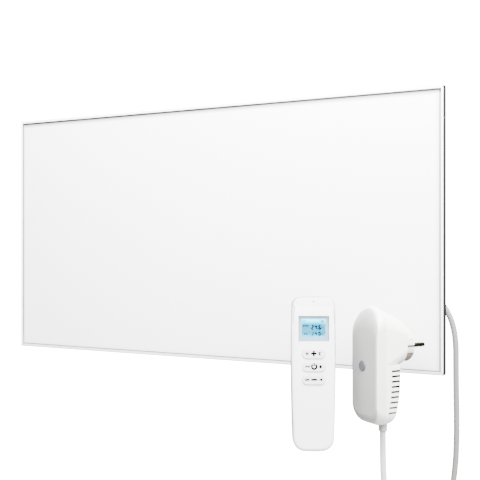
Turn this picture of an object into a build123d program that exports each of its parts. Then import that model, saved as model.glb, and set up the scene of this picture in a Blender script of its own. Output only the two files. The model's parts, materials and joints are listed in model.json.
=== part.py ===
from build123d import *
import math
import os

# A slim infrared panel heater on its wall rails, with its plug-in radio receiver and its remote.
# Millimetres. The panel faces -Y, X runs to the right as seen from the front, and Z is up.
# The origin is the middle of the four wall screws, on the wall's face (Y = 0).
# "Depth" is counted from the front plane of a piece towards its back.

os.makedirs("parts", exist_ok=True)

# ---------------------------------------------------------------- panel sizes
panel_width = 600.0
panel_height = 320.0
panel_depth = 12.0
wall_gap = 22.0              # between the wall and the panel's back

frame_wall = 1.4             # outer wall of the frame bars
frame_lip = 4.0              # front lip, as seen from the front
frame_lip_thick = 1.2        # front and back lips
frame_ledge = 8.0            # ledge behind the front plate
frame_ledge_thick = 1.0
frame_back_lip = 12.0
frame_round = 0.6            # rounding of the outer edges

plate_thick = 2.0
plate_sunk = 0.6             # plate's face behind the lip's face
plate_groove = 1.0           # shadow groove between lip and plate
plate_play = 0.3

film_thick = 0.6
film_play = 1.0
busbar_width = 8.0
busbar_thick = 0.3
busbar_inset = 4.0           # from the film's edge
foil_thick = 0.15
foil_play = 2.0
back_plate_thick = 0.8
back_plate_play = 0.4

key_leg = 28.0               # corner keys
key_width = 8.0
key_play = 0.2
board_play = 1.5             # insulation board, to the corner keys

panel_screw_radius = 1.5
panel_screw_head = 2.6
panel_screw_head_height = 1.4
panel_screw_length = 6.0
panel_screw_far = 20.0       # from the corner, along each leg of the key
rivet_radius = 1.6
rivet_head = 3.0
rivet_head_height = 1.0
rivet_head_round = 0.8
rivet_bulb = 2.3
rivet_bulb_height = 1.0
long_side_rivets = 4
rivet_end_gap = 40.0         # first rivet from the panel's end
hole_play = 0.15             # round each screw, rivet, pin and lead
screw_rim_share = 0.45       # rounding of a screw's head, of its height
screw_slot_long = 1.2        # cross recess, of the head's radius
screw_slot_wide = 0.26
cut_over = 1.0               # how far a cutting shape reaches past the face it cuts

# ---------------------------------------------------------------- wall rails and hooks
screw_spacing_x = 400.0
rail_inset = 50.0            # upper and lower screws, from the panel's top and bottom
wall_hole_radius = 2.5
rail_length = 440.0
rail_thick = 1.5
rail_foot = 9.0              # flange below the screw holes
rail_head = 11.0             # flange above the screw holes
rail_reach = 11.5            # from the wall to the lip's front face
rail_lip = 14.0              # height of the lip above the web
hook_width = 30.0
hook_height = 26.0
hook_thick = 1.5
hook_drop = 8.0              # how far the hook reaches down behind the rail's lip
hook_play = 0.3
hook_offset_x = 170.0
hook_rivet_rows = (6.0, 18.0)    # below the hook's top

# ---------------------------------------------------------------- junction box
box_width = 60.0
box_height = 50.0
box_from_edge = 104.0        # from the panel's right edge
box_wall = 2.0
box_lid_thick = 2.0
box_lid_round = 0.8
box_wall_gap = 3.5           # between the lid and the wall
box_centre_z = -57.0
box_post_radius = 3.0
box_post_inset = 4.4         # from the box's sides
box_screw_radius = 1.2
box_screw_head = 2.4
box_screw_head_height = 1.2
box_screw_length = 9.0
box_screw_sunk = 1.4

cord_axis_y = -12.0          # the cord leaves the box along X at this distance from the wall
gland_flange = 3.5
gland_across_flats = 17.0
gland_thread_radius = 5.2
gland_thread_length = 7.5
locknut_across_flats = 12.4
locknut_thick = 3.0
nut_radius = 8.0
nut_length = 12.2
nut_nose_radius = 6.4
boot_root_radius = 4.8
boot_tip_radius = 3.9
boot_root_length = 4.5
boot_length = 24.0
gland_play = 0.3

tail_inside = 28.0           # cord sheath inside the box, from the box's right face
clamp_width = 8.0
clamp_height = 22.0
clamp_cover = 1.6
clamp_screw_offset = 7.5
terminal_width = 10.0
terminal_height = 26.0
terminal_depth = 10.0
terminal_inset = 6.0
terminal_poles = 3
terminal_screw_radius = 1.8
cutout_radius = 7.0
cutout_depth = 6.0
cutout_from_right = 33.0
cutout_rise = 15.0           # above the middle of the box
cutout_tab = 2.5
cutout_tab_thick = 0.6
cutout_cap_height = 1.2
earth_stud_from_right = 33.0
earth_stud_drop = 15.0       # below the middle of the box
earth_stud_radius = 2.0
earth_stud_length = 8.0
earth_nut_flats = 7.0
earth_nut_thick = 3.0

lead_radius = 1.0
lead_bend = 2.4
lead_gap = 6.0               # from the terminal block to the leads' plane
lead_spacing = 3.0
lead_hole_radius = 4.0
lead_play = 0.5
lead_height = 5.5            # above the floor of the box
lead_step_z = 2.0

# ---------------------------------------------------------------- cord
cord_diameter = 6.5
bend_share = 0.45            # part of the shorter run that a bend may use
coil_layers = 4
coil_turns = 6.5
coil_middle_radius = 36.0
coil_pitch = cord_diameter + 0.6
coil_centre_z = -330.0
tie_width = 5.0
tie_thick = 1.2
tie_play = 0.3
tie_round = 3.0
tie_lock = 6.0

# ---------------------------------------------------------------- receiver
receiver_at = (233.7, -111.7, -142.6)    # middle of its front face
receiver_turn = -35.8                    # degrees about Z
receiver_width = 45.2
receiver_height = 124.0
receiver_depth = 31.6
receiver_wall = 2.0
receiver_split = 12.0
receiver_arch = 22.0             # height of the arch at its top
receiver_arch_share = 0.5        # part of the fall that the arch loses towards the front
receiver_bottom_round = 14.0
receiver_side_round = 3.8        # front edges, along the sides
receiver_top_fall = 24.0         # how far down the front bends back, at the top
receiver_bottom_fall = 12.0      # and at the bottom
receiver_front_steps = 10        # sections that shape the front
receiver_back_round = 2.0
receiver_bow_from = -14.0        # the back bows in below this height
receiver_bow_radius = 130.0
receiver_heel_round = 12.0       # the bottom of the back, seen from the side
receiver_heel_turn = 80.0        # degrees that it turns through to the bottom face
seam_play = 0.15

nose_end = 42.5                  # depth of the plug's shoulder
nose_width = 42.0
nose_top = 46.8
nose_bottom = -1.2
nose_arch = 17.0
nose_round = 20.0
nose_root_bottom = -1.0
nose_root_round = 3.0
nose_rim_round = 2.0
shelf_z = 1.0                    # top of the box below the nose
passage_wide = 17.6              # half widths and depths of the opening from box to nose
passage_near = 20.0
passage_narrow = 9.0
passage_reach = 8.0

vent_count = 9
vent_pitch = 5.4
vent_top = -4.7
vent_height = 1.4
vent_from = 20.0
vent_length = 9.8

pin_axis_z = 19.2
pin_radius = 2.4
pin_spacing = 19.0
pin_length = 18.8
pin_dome = 2.0                   # rounding of the tip
pin_root = 34.5
pin_root_radius = 2.9            # inside the plug's body
pin_shoulder_radius = 3.4
pin_shoulder_length = 2.6
core_radius = 17.6
core_from = 37.5
core_face = 54.6
core_chamfer = 1.2
notch_height = 2.4
notch_depth = 2.4
clip_thick = 0.8
clip_proud = 0.3
clip_half_angle = 66.0
clip_angle_play = 1.0           # degrees
clip_margin = 0.9

button_radius = 5.6
button_play = 0.3
button_proud = 0.6
button_round = 0.5
button_flange_radius = 7.0
button_flange = 1.0
button_stem_radius = 2.0
button_travel = 0.8
button_spare = 0.1               # left over when it is fully pressed
button_x = -2.3
button_z = -0.8
switch_size = 6.0
switch_height = 4.0
switch_plunger = 1.0
switch_plunger_radius = 1.75

receiver_board_depth = 17.0
receiver_board_thick = 1.6
receiver_board_width = 34.0
receiver_board_low = -44.0
receiver_board_high = 44.0
receiver_screw_x = 12.5
receiver_screw_z = -36.0
receiver_post_radius = 3.2
receiver_screw_radius = 1.3
receiver_screw_head = 2.5
receiver_screw_head_height = 1.6
receiver_screw_sunk = 1.0
receiver_screw_length = 22.0
relay_size = (19.0, 10.0, 20.0)
relay_x = -6.5
relay_z = 30.0
capacitor_size = (18.0, 8.5, 13.0)
capacitor_z = -9.5
part_round = 0.8

cord_exit_depth = 25.2           # depth of the cord's axis in the receiver
receiver_boot_radius = 4.8
receiver_boot_tip = 3.7
receiver_boot_top = -51.0
receiver_boot_shoulder = -69.0
receiver_boot_end = -71.5
cord_boss_wall = 1.5             # socket round the boot, on the casing's heel
cord_boss_low = -57.0
cord_boss_high = -46.0
cord_boss_slope = 3.0

# ---------------------------------------------------------------- remote
remote_at = (192.4, -148.4, -150.2)      # middle of its front face
remote_turn = 26.65                      # degrees about Z
remote_top_half_width = 22.3
remote_half_width = 23.0
remote_bottom_half_width = 21.0
remote_length = 160.0
remote_end_bow = 1.3
remote_depth = 19.0
remote_split = 9.0
remote_wall = 1.8
remote_top_round = 9.0
remote_bottom_round = 13.0
remote_edge_round = 4.0
head_from = 69.5                         # the front slopes back above this height
head_slope = 15.0                        # degrees
head_wall_depth = 4.8
head_wall_from = 66.0

window_width = 31.0
window_height = 25.6
window_z = 47.5
window_play = 0.25
lens_sunk = 0.25
lens_thick = 1.25
module_width = 36.0
module_height = 31.0

key_wide = 23.6
key_high = 9.7
key_pitch = 13.4
key_middle_z = 8.2
key_gap = 0.3
key_proud = 0.9
key_flange_margin = 1.0
key_flange = 0.8
key_flange_gap = 0.2
key_travel = 0.8
key_spare = 0.1
key_edge = 0.4
mat_width = 32.0
mat_margin = 3.5
mat_thick = 0.5
dome_height = 0.5
dome_radius = 3.5

remote_board_width = 36.0
remote_board_thick = 1.0
remote_board_low = -62.0
remote_board_high = 64.0
led_radius = 0.7
led_z = 75.4
led_length = 4.0
led_sunk = 0.2

battery_radius = 5.25
battery_length = 44.5
battery_gap = 0.7
battery_low = -68.0
battery_axis_depth = 11.7
battery_button_radius = 1.9
battery_button = 0.8
contact_thick = 0.4
contact_bump = 0.9
contact_play = 0.1
contact_half_width = 4.2
tray_wall = 1.2

door_half_width = 19.0
door_top = -16.0
door_play = 0.3
door_travel = 12.0
door_ridges = 5
door_ridge_width = 14.0
door_ridge_pitch = 2.2
door_ridge_depth = 0.35
door_ridge_thick = 1.0

remote_screw_x = 13.0
remote_screw_z = 69.0
remote_post_radius = 3.0
remote_screw_radius = 1.1
remote_screw_head = 2.2
remote_screw_head_height = 1.4
remote_screw_sunk = 0.6
remote_screw_length = 10.5

# ---------------------------------------------------------------- worked out from the sizes
panel_front_y = -(wall_gap + panel_depth)
plate_back_depth = plate_sunk + plate_thick
ledge_back_depth = plate_back_depth + frame_ledge_thick
film_back_depth = plate_back_depth + film_thick
busbar_back_depth = film_back_depth + busbar_thick
foil_back_depth = film_back_depth + foil_thick
lip_inner_depth = panel_depth - frame_lip_thick
back_plate_front_depth = lip_inner_depth - back_plate_thick
film_edge = frame_ledge + film_play
board_edge = frame_wall + key_play + key_width + board_play
key_axis = frame_wall + key_play + key_width / 2
lead_run_depth = back_plate_front_depth - lead_radius - lead_play
busbar_z = panel_height / 2 - film_edge - busbar_inset - busbar_width / 2
back_face_y = panel_front_y + lip_inner_depth

box_right = panel_width / 2 - box_from_edge
box_left = box_right - box_width
lead_x = box_left + terminal_inset + terminal_width + lead_gap
cutout_x = box_right - cutout_from_right
cutout_z = box_centre_z + cutout_rise
earth_stud_x = box_right - earth_stud_from_right
earth_stud_z = box_centre_z - earth_stud_drop
box_low_z = box_centre_z - box_height / 2
box_high_z = box_centre_z + box_height / 2
box_floor_y = back_face_y + box_wall
box_lid_y = -box_wall_gap - box_lid_thick
gland_nut_start = box_right + gland_flange + gland_play
boot_start = box_right + gland_flange + gland_thread_length + gland_play
cord_start_x = boot_start + boot_length

receiver_place = Location(receiver_at, (0, 0, receiver_turn))
remote_place = Location(remote_at, (0, 0, remote_turn))
board_back_depth = receiver_board_depth + receiver_board_thick
core_stub = core_face - nose_end

flange_depth = remote_wall + key_flange_gap
dome_depth = flange_depth + key_flange + key_travel + key_spare
mat_depth = dome_depth + dome_height
remote_board_depth = mat_depth + mat_thick
key_heights = {"plus": key_middle_z + key_pitch, "power": key_middle_z,
               "minus": key_middle_z - key_pitch}


# ---------------------------------------------------------------- helpers
def depth_y(depth):
    """Y of a depth behind the panel's front plane."""
    return panel_front_y + depth


def block(x, y, z):
    """Box between the low and high values along each axis."""
    middle = Pos((x[0] + x[1]) / 2, (y[0] + y[1]) / 2, (z[0] + z[1]) / 2)
    return middle * Box(x[1] - x[0], y[1] - y[0], z[1] - z[0])


def centred_block(x, y, z, width, height):
    """Box about the point x, z, between two values of Y."""
    return block((x - width / 2, x + width / 2), y, (z - height / 2, z + height / 2))


def rod_x(x, y, z, radius):
    return Pos((x[0] + x[1]) / 2, y, z) * Rot(0, 90, 0) * Cylinder(radius, x[1] - x[0])


def rod_y(x, y, z, radius):
    return Pos(x, (y[0] + y[1]) / 2, z) * Rot(90, 0, 0) * Cylinder(radius, y[1] - y[0])


def rod_z(x, y, z, radius):
    return Pos(x, y, (z[0] + z[1]) / 2) * Cylinder(radius, z[1] - z[0])


def slab(sketch, y):
    """Sketch drawn in X and Z, carried from y[0] to y[1]."""
    return extrude(Plane.XZ.offset(-y[1]) * sketch, y[1] - y[0])


def hexagon_x(x, y, z, flats):
    """Hexagonal nut along X, with flats towards -Y and +Y."""
    sketch = RegularPolygon(flats / 2, 6, major_radius=False)
    return Pos(x[0], y, z) * Rot(0, 90, 0) * extrude(sketch, x[1] - x[0])


def turned(points):
    """Solid of revolution about Z from points of radius and height."""
    profile = make_face(Plane.XZ * Polyline(*points, close=True))
    return revolve(profile, Axis.Z)


def screw(radius, length, head_radius, head_height):
    """Pan-head screw along Z: its head stands on Z = 0 and its shank hangs below."""
    head = Pos(0, 0, head_height / 2) * Cylinder(head_radius, head_height)
    rim = head.edges().filter_by(GeomType.CIRCLE).sort_by(Axis.Z)[-1]
    head = fillet(rim, head_height * screw_rim_share)
    slot = Pos(0, 0, head_height) * Box(head_radius * screw_slot_long,
                                        head_radius * screw_slot_wide, head_height)
    shank = Pos(0, 0, -length / 2) * Cylinder(radius, length)
    return head + shank - slot - Rot(0, 0, 90) * slot


def facing_wall(x, y, z):
    """Place that turns a piece made along Z towards the wall, +Y."""
    return Pos(x, y, z) * Rot(-90, 0, 0)


def frame_corners():
    return [(sx, sz) for sx in (-1, 1) for sz in (-1, 1)]


def box_shell(x, y, z, wall):
    """Tray that is open towards +Y."""
    hollow = block((x[0] + wall, x[1] - wall), (y[0] + wall, y[1] + wall),
                   (z[0] + wall, z[1] - wall))
    return block(x, y, z) - hollow


# ---------------------------------------------------------------- panel
def corner_screw_places():
    far_x = panel_width / 2 - panel_screw_far
    far_z = panel_height / 2 - panel_screw_far
    near_x = panel_width / 2 - key_axis
    near_z = panel_height / 2 - key_axis
    return [(sx * x, sz * z) for sx, sz in frame_corners()
            for x, z in ((far_x, near_z), (near_x, far_z))]


def rivet_places():
    first = rivet_end_gap - panel_width / 2
    step = -2 * first / (long_side_rivets - 1)
    high = panel_height / 2 - key_axis
    wide = panel_width / 2 - key_axis
    rows = [(first + i * step, s * high) for i in range(long_side_rivets) for s in (-1, 1)]
    return rows + [(-wide, 0.0), (wide, 0.0)]


def back_lip_holes():
    """Clearance holes of the corner screws and rivets through the back lip and back plate."""
    y = (depth_y(back_plate_front_depth - back_plate_thick), depth_y(panel_depth + frame_wall))
    holes = [rod_y(x, y, z, panel_screw_radius + hole_play) for x, z in corner_screw_places()]
    return holes + [rod_y(x, y, z, rivet_radius + hole_play) for x, z in rivet_places()]


def frame_bar(length, half, turn):
    """One mitred bar, made as the top bar and turned about Y into its place."""
    inward = (0, frame_lip, frame_lip, frame_wall, frame_wall, frame_ledge, frame_ledge,
              frame_wall, frame_wall, frame_back_lip, frame_back_lip, 0)
    depths = (0, 0, frame_lip_thick, frame_lip_thick, plate_back_depth, plate_back_depth,
              ledge_back_depth, ledge_back_depth, lip_inner_depth, lip_inner_depth,
              panel_depth, panel_depth)
    points = [(depth_y(d), half - i) for i, d in zip(inward, depths)]
    section = make_face(Polyline(*points, close=True))
    outer = section.vertices().group_by(Axis.Y)[-1]
    section = fillet(outer, frame_round)
    bar = extrude(Plane.YZ * section, length / 2, both=True)
    reach = frame_back_lip + frame_wall
    mitre = make_face(Polyline((-length / 2, half), (length / 2, half),
                               (length / 2 - reach, half - reach),
                               (-length / 2 + reach, half - reach), close=True))
    bar = bar & slab(mitre, (panel_front_y - frame_wall, frame_wall - wall_gap))
    bar = Rot(0, turn, 0) * bar
    return bar - back_lip_holes()


def front_plate():
    edge = frame_wall + plate_play
    field = frame_lip + plate_groove
    flange = slab(Rectangle(panel_width - 2 * edge, panel_height - 2 * edge),
                  (depth_y(frame_lip_thick), depth_y(plate_back_depth)))
    face = slab(Rectangle(panel_width - 2 * field, panel_height - 2 * field),
                (depth_y(plate_sunk), depth_y(plate_back_depth)))
    return flange + face


def heating_film():
    return slab(Rectangle(panel_width - 2 * film_edge, panel_height - 2 * film_edge),
                (depth_y(plate_back_depth), depth_y(film_back_depth)))


def busbars():
    length = panel_width - 2 * (film_edge + busbar_inset)
    y = (depth_y(film_back_depth), depth_y(busbar_back_depth))
    return [centred_block(0, y, s * busbar_z, length, busbar_width) for s in (-1, 1)]


def foil_height():
    return 2 * (busbar_z - busbar_width / 2 - foil_play)


def reflector_foil():
    return slab(Rectangle(panel_width - 2 * board_edge, foil_height()),
                (depth_y(film_back_depth), depth_y(foil_back_depth)))


def insulation_board():
    board = slab(Rectangle(panel_width - 2 * board_edge, panel_height - 2 * board_edge),
                 (depth_y(foil_back_depth), depth_y(back_plate_front_depth)))
    pocket_y = (depth_y(film_back_depth), depth_y(busbar_back_depth + hole_play))
    length = panel_width - 2 * film_edge
    pockets = [centred_block(0, pocket_y, s * busbar_z, length, busbar_width + foil_play)
               for s in (-1, 1)]
    width = lead_spacing + 2 * (lead_radius + lead_play)
    channel = centred_block(lead_x, (depth_y(lead_run_depth - lead_bend),
                                     depth_y(back_plate_front_depth + hole_play)),
                            0, width, 2 * (busbar_z + lead_radius + lead_play))
    ducts = [rod_y(x, (depth_y(film_back_depth), depth_y(back_plate_front_depth)), z,
                   lead_radius + hole_play) for x, z in lead_ends()]
    wells = [rod_y(x, (depth_y(back_plate_front_depth - rivet_bulb_height - hole_play),
                       depth_y(back_plate_front_depth + hole_play)), z,
                   rivet_bulb + hole_play) for x, z in hook_rivet_places()]
    return board - pockets - channel - ducts - wells


def back_plate():
    edge = frame_wall + back_plate_play
    y = (depth_y(back_plate_front_depth), depth_y(lip_inner_depth))
    plate = slab(Rectangle(panel_width - 2 * edge, panel_height - 2 * edge), y)
    lead_hole = rod_y(lead_x, (y[0] - box_wall, y[1] + box_wall), box_centre_z, lead_hole_radius)
    hook_holes = [rod_y(x, (y[0] - box_wall, y[1] + box_wall), z, rivet_radius + hole_play)
                  for x, z in hook_rivet_places()]
    return plate - lead_hole - back_lip_holes() - hook_holes


def corner_keys():
    y = (depth_y(ledge_back_depth), depth_y(back_plate_front_depth))
    start = frame_wall + key_play
    keys = []
    for sx, sz in frame_corners():
        def leg(long_x, long_z):
            x = sorted((sx * (panel_width / 2 - start), sx * (panel_width / 2 - start - long_x)))
            z = sorted((sz * (panel_height / 2 - start), sz * (panel_height / 2 - start - long_z)))
            return block(x, y, z)
        keys.append(leg(key_leg, key_width) + leg(key_width, key_leg))
    holes = [rod_y(x, (y[1] - panel_screw_length, y[1] + key_play), z,
                   panel_screw_radius + hole_play) for x, z in corner_screw_places()]
    return [key - holes for key in keys]


def corner_screws():
    piece = screw(panel_screw_radius, panel_screw_length, panel_screw_head,
                  panel_screw_head_height)
    return [facing_wall(x, depth_y(panel_depth), z) * piece for x, z in corner_screw_places()]


def rivet(grip):
    """Blind rivet along Z: its dome on Z = 0 and its bulb behind the sheets it grips."""
    dome = Pos(0, 0, rivet_head_height / 2) * Cylinder(rivet_head, rivet_head_height)
    dome = fillet(dome.edges().filter_by(GeomType.CIRCLE).sort_by(Axis.Z)[-1], rivet_head_round)
    shank = Pos(0, 0, -grip / 2) * Cylinder(rivet_radius, grip)
    bulb = Pos(0, 0, -grip - rivet_bulb_height / 2) * Cylinder(rivet_bulb, rivet_bulb_height)
    return dome + shank + bulb


def back_plate_rivets():
    piece = rivet(frame_lip_thick + back_plate_thick)
    return [facing_wall(x, depth_y(panel_depth), z) * piece for x, z in rivet_places()]


# ---------------------------------------------------------------- rails and hooks
def rail_levels():
    level = panel_height / 2 - rail_inset
    return {"upper": level, "lower": -level}


def rail_lip_top(level):
    return level + rail_head + rail_lip


def wall_rail(level):
    half = rail_length / 2
    web_low = level + rail_head - rail_thick
    foot = block((-half, half), (-rail_thick, 0), (level - rail_foot, level + rail_head))
    web = block((-half, half), (-rail_reach, 0), (web_low, level + rail_head))
    lip = block((-half, half), (-rail_reach, rail_thick - rail_reach),
                (web_low, rail_lip_top(level)))
    holes = [rod_y(s * screw_spacing_x / 2, (-2 * rail_thick, rail_thick), level,
                   wall_hole_radius) for s in (-1, 1)]
    return foot + web + lip - holes


def hook_places():
    return [(s * hook_offset_x, rail_lip_top(level)) for s in (-1, 1)
            for level in rail_levels().values()]


def hook_rivet_places():
    return [(x, top - row) for x, top in hook_places() for row in hook_rivet_rows]


def hanger_hooks():
    hooks = []
    back = rail_thick - rail_reach + hook_play + hook_thick
    for x, top in hook_places():
        wide = (x - hook_width / 2, x + hook_width / 2)
        base = block(wide, (back_face_y, back_face_y + hook_thick),
                     (top + hook_thick - hook_height, top + hook_thick))
        web = block(wide, (back_face_y, back), (top, top + hook_thick))
        drop = block(wide, (back - hook_thick, back), (top - hook_drop, top + hook_thick))
        hooks.append(base + web + drop)
    holes = [rod_y(x, (back_face_y - hook_thick, back_face_y + 2 * hook_thick), z,
                   rivet_radius + hole_play) for x, z in hook_rivet_places()]
    return [hook - holes for hook in hooks]


def hook_rivets():
    piece = rivet(hook_thick + back_plate_thick)
    return [facing_wall(x, back_face_y + hook_thick, z) * piece
            for x, z in hook_rivet_places()]


# ---------------------------------------------------------------- junction box
def box_post_places():
    return [(x, z) for x in (box_left + box_post_inset, box_right - box_post_inset)
            for z in (box_low_z + box_post_inset, box_high_z - box_post_inset)]


def junction_box_base():
    tray = box_shell((box_left, box_right), (back_face_y, box_lid_y), (box_low_z, box_high_z),
                     box_wall)
    posts = [rod_y(x, (back_face_y, box_lid_y), z, box_post_radius)
             for x, z in box_post_places()]
    pilots = [rod_y(x, (box_lid_y - box_screw_length, box_lid_y + box_wall), z,
                    box_screw_radius + hole_play) for x, z in box_post_places()]
    gland_hole = rod_x((box_right - 2 * box_wall, box_right + box_wall), cord_axis_y,
                       box_centre_z, gland_thread_radius + hole_play)
    lead_hole = rod_y(lead_x, (back_face_y - box_wall, box_floor_y + box_wall), box_centre_z,
                      lead_hole_radius)
    return tray + posts - pilots - gland_hole - lead_hole


def junction_box_lid():
    lid = block((box_left, box_right), (box_lid_y, -box_wall_gap), (box_low_z, box_high_z))
    edges = lid.edges().group_by(Axis.Y)[-1]
    lid = fillet(edges, box_lid_round)
    holes = [rod_y(x, (box_lid_y - box_wall, 0), z, box_screw_radius + hole_play)
             for x, z in box_post_places()]
    wells = [rod_y(x, (-box_wall_gap - box_screw_sunk, 0), z, box_screw_head + hole_play)
             for x, z in box_post_places()]
    return lid - holes - wells


def junction_box_screws():
    piece = screw(box_screw_radius, box_screw_length, box_screw_head, box_screw_head_height)
    return [facing_wall(x, -box_wall_gap - box_screw_sunk, z) * piece
            for x, z in box_post_places()]


def terminal_block():
    left = box_left + terminal_inset
    x = (left, left + terminal_width)
    pitch = terminal_height / terminal_poles
    body = block(x, (box_floor_y, box_floor_y + terminal_depth),
                 (box_centre_z - terminal_height / 2, box_centre_z + terminal_height / 2))
    poles = [box_centre_z + (i - (terminal_poles - 1) / 2) * pitch
             for i in range(terminal_poles)]
    wells = [rod_y((x[0] + x[1]) / 2, (box_floor_y + terminal_depth / 2,
                                       box_floor_y + terminal_depth + box_wall), z,
                   terminal_screw_radius) for z in poles]
    return body - wells


def thermal_cutout():
    disc = rod_y(cutout_x, (box_floor_y, box_floor_y + cutout_depth), cutout_z, cutout_radius)
    cap = rod_y(cutout_x, (box_floor_y, box_floor_y + cutout_depth + cutout_cap_height), cutout_z,
                cutout_radius / 2)
    tabs = [centred_block(cutout_x + s * cutout_radius / 2,
                          (box_floor_y + cutout_depth / 2,
                           box_floor_y + cutout_depth + cutout_tab),
                          cutout_z, cutout_tab_thick, cutout_tab) for s in (-1, 1)]
    return disc + cap + tabs


def cord_clamp():
    x = (box_right - tail_inside + clamp_width, box_right - tail_inside + 2 * clamp_width)
    top = cord_axis_y + cord_diameter / 2 + clamp_cover
    bridge = block(x, (box_floor_y, top),
                   (box_centre_z - clamp_height / 2, box_centre_z + clamp_height / 2))
    bore = rod_x((x[0] - clamp_width, x[1] + clamp_width), cord_axis_y, box_centre_z,
                 cord_diameter / 2 + hole_play)
    middle = (x[0] + x[1]) / 2
    places = [(middle, box_centre_z + s * clamp_screw_offset) for s in (-1, 1)]
    pilots = [rod_y(px, (box_floor_y, top + clamp_cover), pz, box_screw_radius + hole_play)
              for px, pz in places]
    piece = screw(box_screw_radius, box_screw_length, box_screw_head, box_screw_head_height)
    screws = [facing_wall(px, top, pz) * piece for px, pz in places]
    return [bridge - bore - pilots] + screws


def earth_stud():
    stud = rod_y(earth_stud_x, (box_floor_y, box_floor_y + earth_stud_length), earth_stud_z,
                 earth_stud_radius)
    sketch = RegularPolygon(earth_nut_flats / 2, 6, major_radius=False)
    nut = slab(Pos(earth_stud_x, earth_stud_z) * sketch,
               (box_floor_y, box_floor_y + earth_nut_thick))
    return stud + nut


def lead_ends():
    return [(lead_x - lead_spacing / 2, busbar_z), (lead_x + lead_spacing / 2, -busbar_z)]


def inner_leads():
    """One lead to each busbar: out of the terminal block, through the back plate, along the
    channel in the insulation board and forward to the strip."""
    start_x = box_left + terminal_inset + terminal_width
    out_y = box_floor_y + lead_height
    run_y = depth_y(lead_run_depth)
    leads = []
    for (x, z), side in zip(lead_ends(), (1, -1)):
        level = box_centre_z + side * lead_step_z
        path = FilletPolyline((start_x, out_y, level), (x, out_y, level), (x, run_y, level),
                              (x, run_y, z), (x, depth_y(busbar_back_depth), z),
                              radius=lead_bend)
        section = Plane(origin=path @ 0, z_dir=path % 0) * Circle(lead_radius)
        leads.append(sweep(section, path=path))
    return leads


def cable_gland():
    bore = rod_x((box_left, cord_start_x), cord_axis_y, box_centre_z,
                 cord_diameter / 2 + hole_play)
    flange = hexagon_x((box_right, box_right + gland_flange), cord_axis_y, box_centre_z,
                       gland_across_flats)
    thread = rod_x((box_right - box_wall - locknut_thick - gland_play,
                    box_right + gland_flange + gland_thread_length), cord_axis_y, box_centre_z,
                   gland_thread_radius)
    locknut = hexagon_x((box_right - box_wall - locknut_thick, box_right - box_wall),
                        cord_axis_y, box_centre_z, locknut_across_flats)
    return flange + thread + locknut - bore


def gland_nut():
    x = (gland_nut_start, gland_nut_start + nut_length)
    straight = x[1] - (nut_radius - nut_nose_radius)
    body = turned([(0, x[0]), (nut_radius, x[0]), (nut_radius, straight),
                   (nut_nose_radius, x[1]), (0, x[1])])
    body = Pos(0, cord_axis_y, box_centre_z) * Rot(0, 90, 0) * body
    thread = rod_x((x[0] - gland_play, boot_start), cord_axis_y, box_centre_z,
                   gland_thread_radius + hole_play)
    mouth = rod_x(x, cord_axis_y, box_centre_z, boot_root_radius + hole_play)
    return body - thread - mouth


def cord_boot():
    """Tapered sleeve that keeps the cord from kinking at the gland."""
    x = (boot_start, boot_start + boot_root_length, cord_start_x)
    body = turned([(0, x[0]), (boot_root_radius, x[0]), (boot_root_radius, x[1]),
                   (boot_tip_radius, x[2]), (0, x[2])])
    body = Pos(0, cord_axis_y, box_centre_z) * Rot(0, 90, 0) * body
    bore = rod_x((x[0] - gland_play, x[2] + gland_play), cord_axis_y, box_centre_z,
                 cord_diameter / 2 + hole_play)
    return body - bore


def cord_tail():
    return rod_x((box_right - tail_inside, cord_start_x), cord_axis_y, box_centre_z,
                 cord_diameter / 2)


# ---------------------------------------------------------------- cord
def plan_unit(angle):
    return Vector(math.cos(angle), math.sin(angle), 0)


coil_layer_turns = coil_turns / coil_layers
coil_outer_radius = coil_middle_radius + coil_layer_turns * coil_pitch / 2
coil_inner_radius = coil_middle_radius - coil_layer_turns * coil_pitch / 2
coil_half_width = (coil_layers - 1) * coil_pitch / 2

# The two hanging stretches, in plan. The coil hangs between them, turned so that both of
# them run into it straight.
panel_stretch = Vector(308.6, cord_axis_y, 0)
receiver_exit = (receiver_place * Pos(0, cord_exit_depth, receiver_boot_end)).position
receiver_stretch = Vector(receiver_exit.X, receiver_exit.Y, 0)
between = panel_stretch - receiver_stretch
stretch_angle = math.atan2(between.Y, between.X)
coil_angle = stretch_angle - math.atan2(coil_half_width, coil_outer_radius)
coil_across = plan_unit(coil_angle)
coil_axis = Vector(coil_across.Y, -coil_across.X, 0)
coil_centre = (panel_stretch + receiver_stretch) / 2 + Vector(0, 0, coil_centre_z)
coil_plane = Plane(origin=coil_centre, x_dir=coil_across, z_dir=coil_axis)


def coil_radius(turn):
    """Spirals in and out again at one steady rate, a layer each way."""
    layer = min(int(turn / coil_layer_turns), coil_layers - 1)
    run = (turn - layer * coil_layer_turns) * coil_pitch
    return coil_inner_radius + run if layer % 2 else coil_outer_radius - run


def coil_height(turn):
    """Height along the coil's axis: a layer up in the half turn round each reversal."""
    height = -coil_half_width
    for change in range(1, coil_layers):
        share = (turn - change * coil_layer_turns) / 0.5 + 0.5
        share = min(max(share, 0.0), 1.0)
        height += coil_pitch * (1 - math.cos(math.pi * share)) / 2
    return height


def coil_point(turn):
    angle = 2 * math.pi * turn
    radius = coil_radius(turn)
    return coil_plane.from_local_coords(
        Vector(radius * math.cos(angle), -radius * math.sin(angle), coil_height(turn)))


def coil_heading(turn):
    if turn <= 0:
        return Vector(0, 0, -1)
    if turn >= coil_turns:
        return Vector(0, 0, 1)
    step = 0.01
    return (coil_point(turn + step) - coil_point(turn - step)).normalized()


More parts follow.
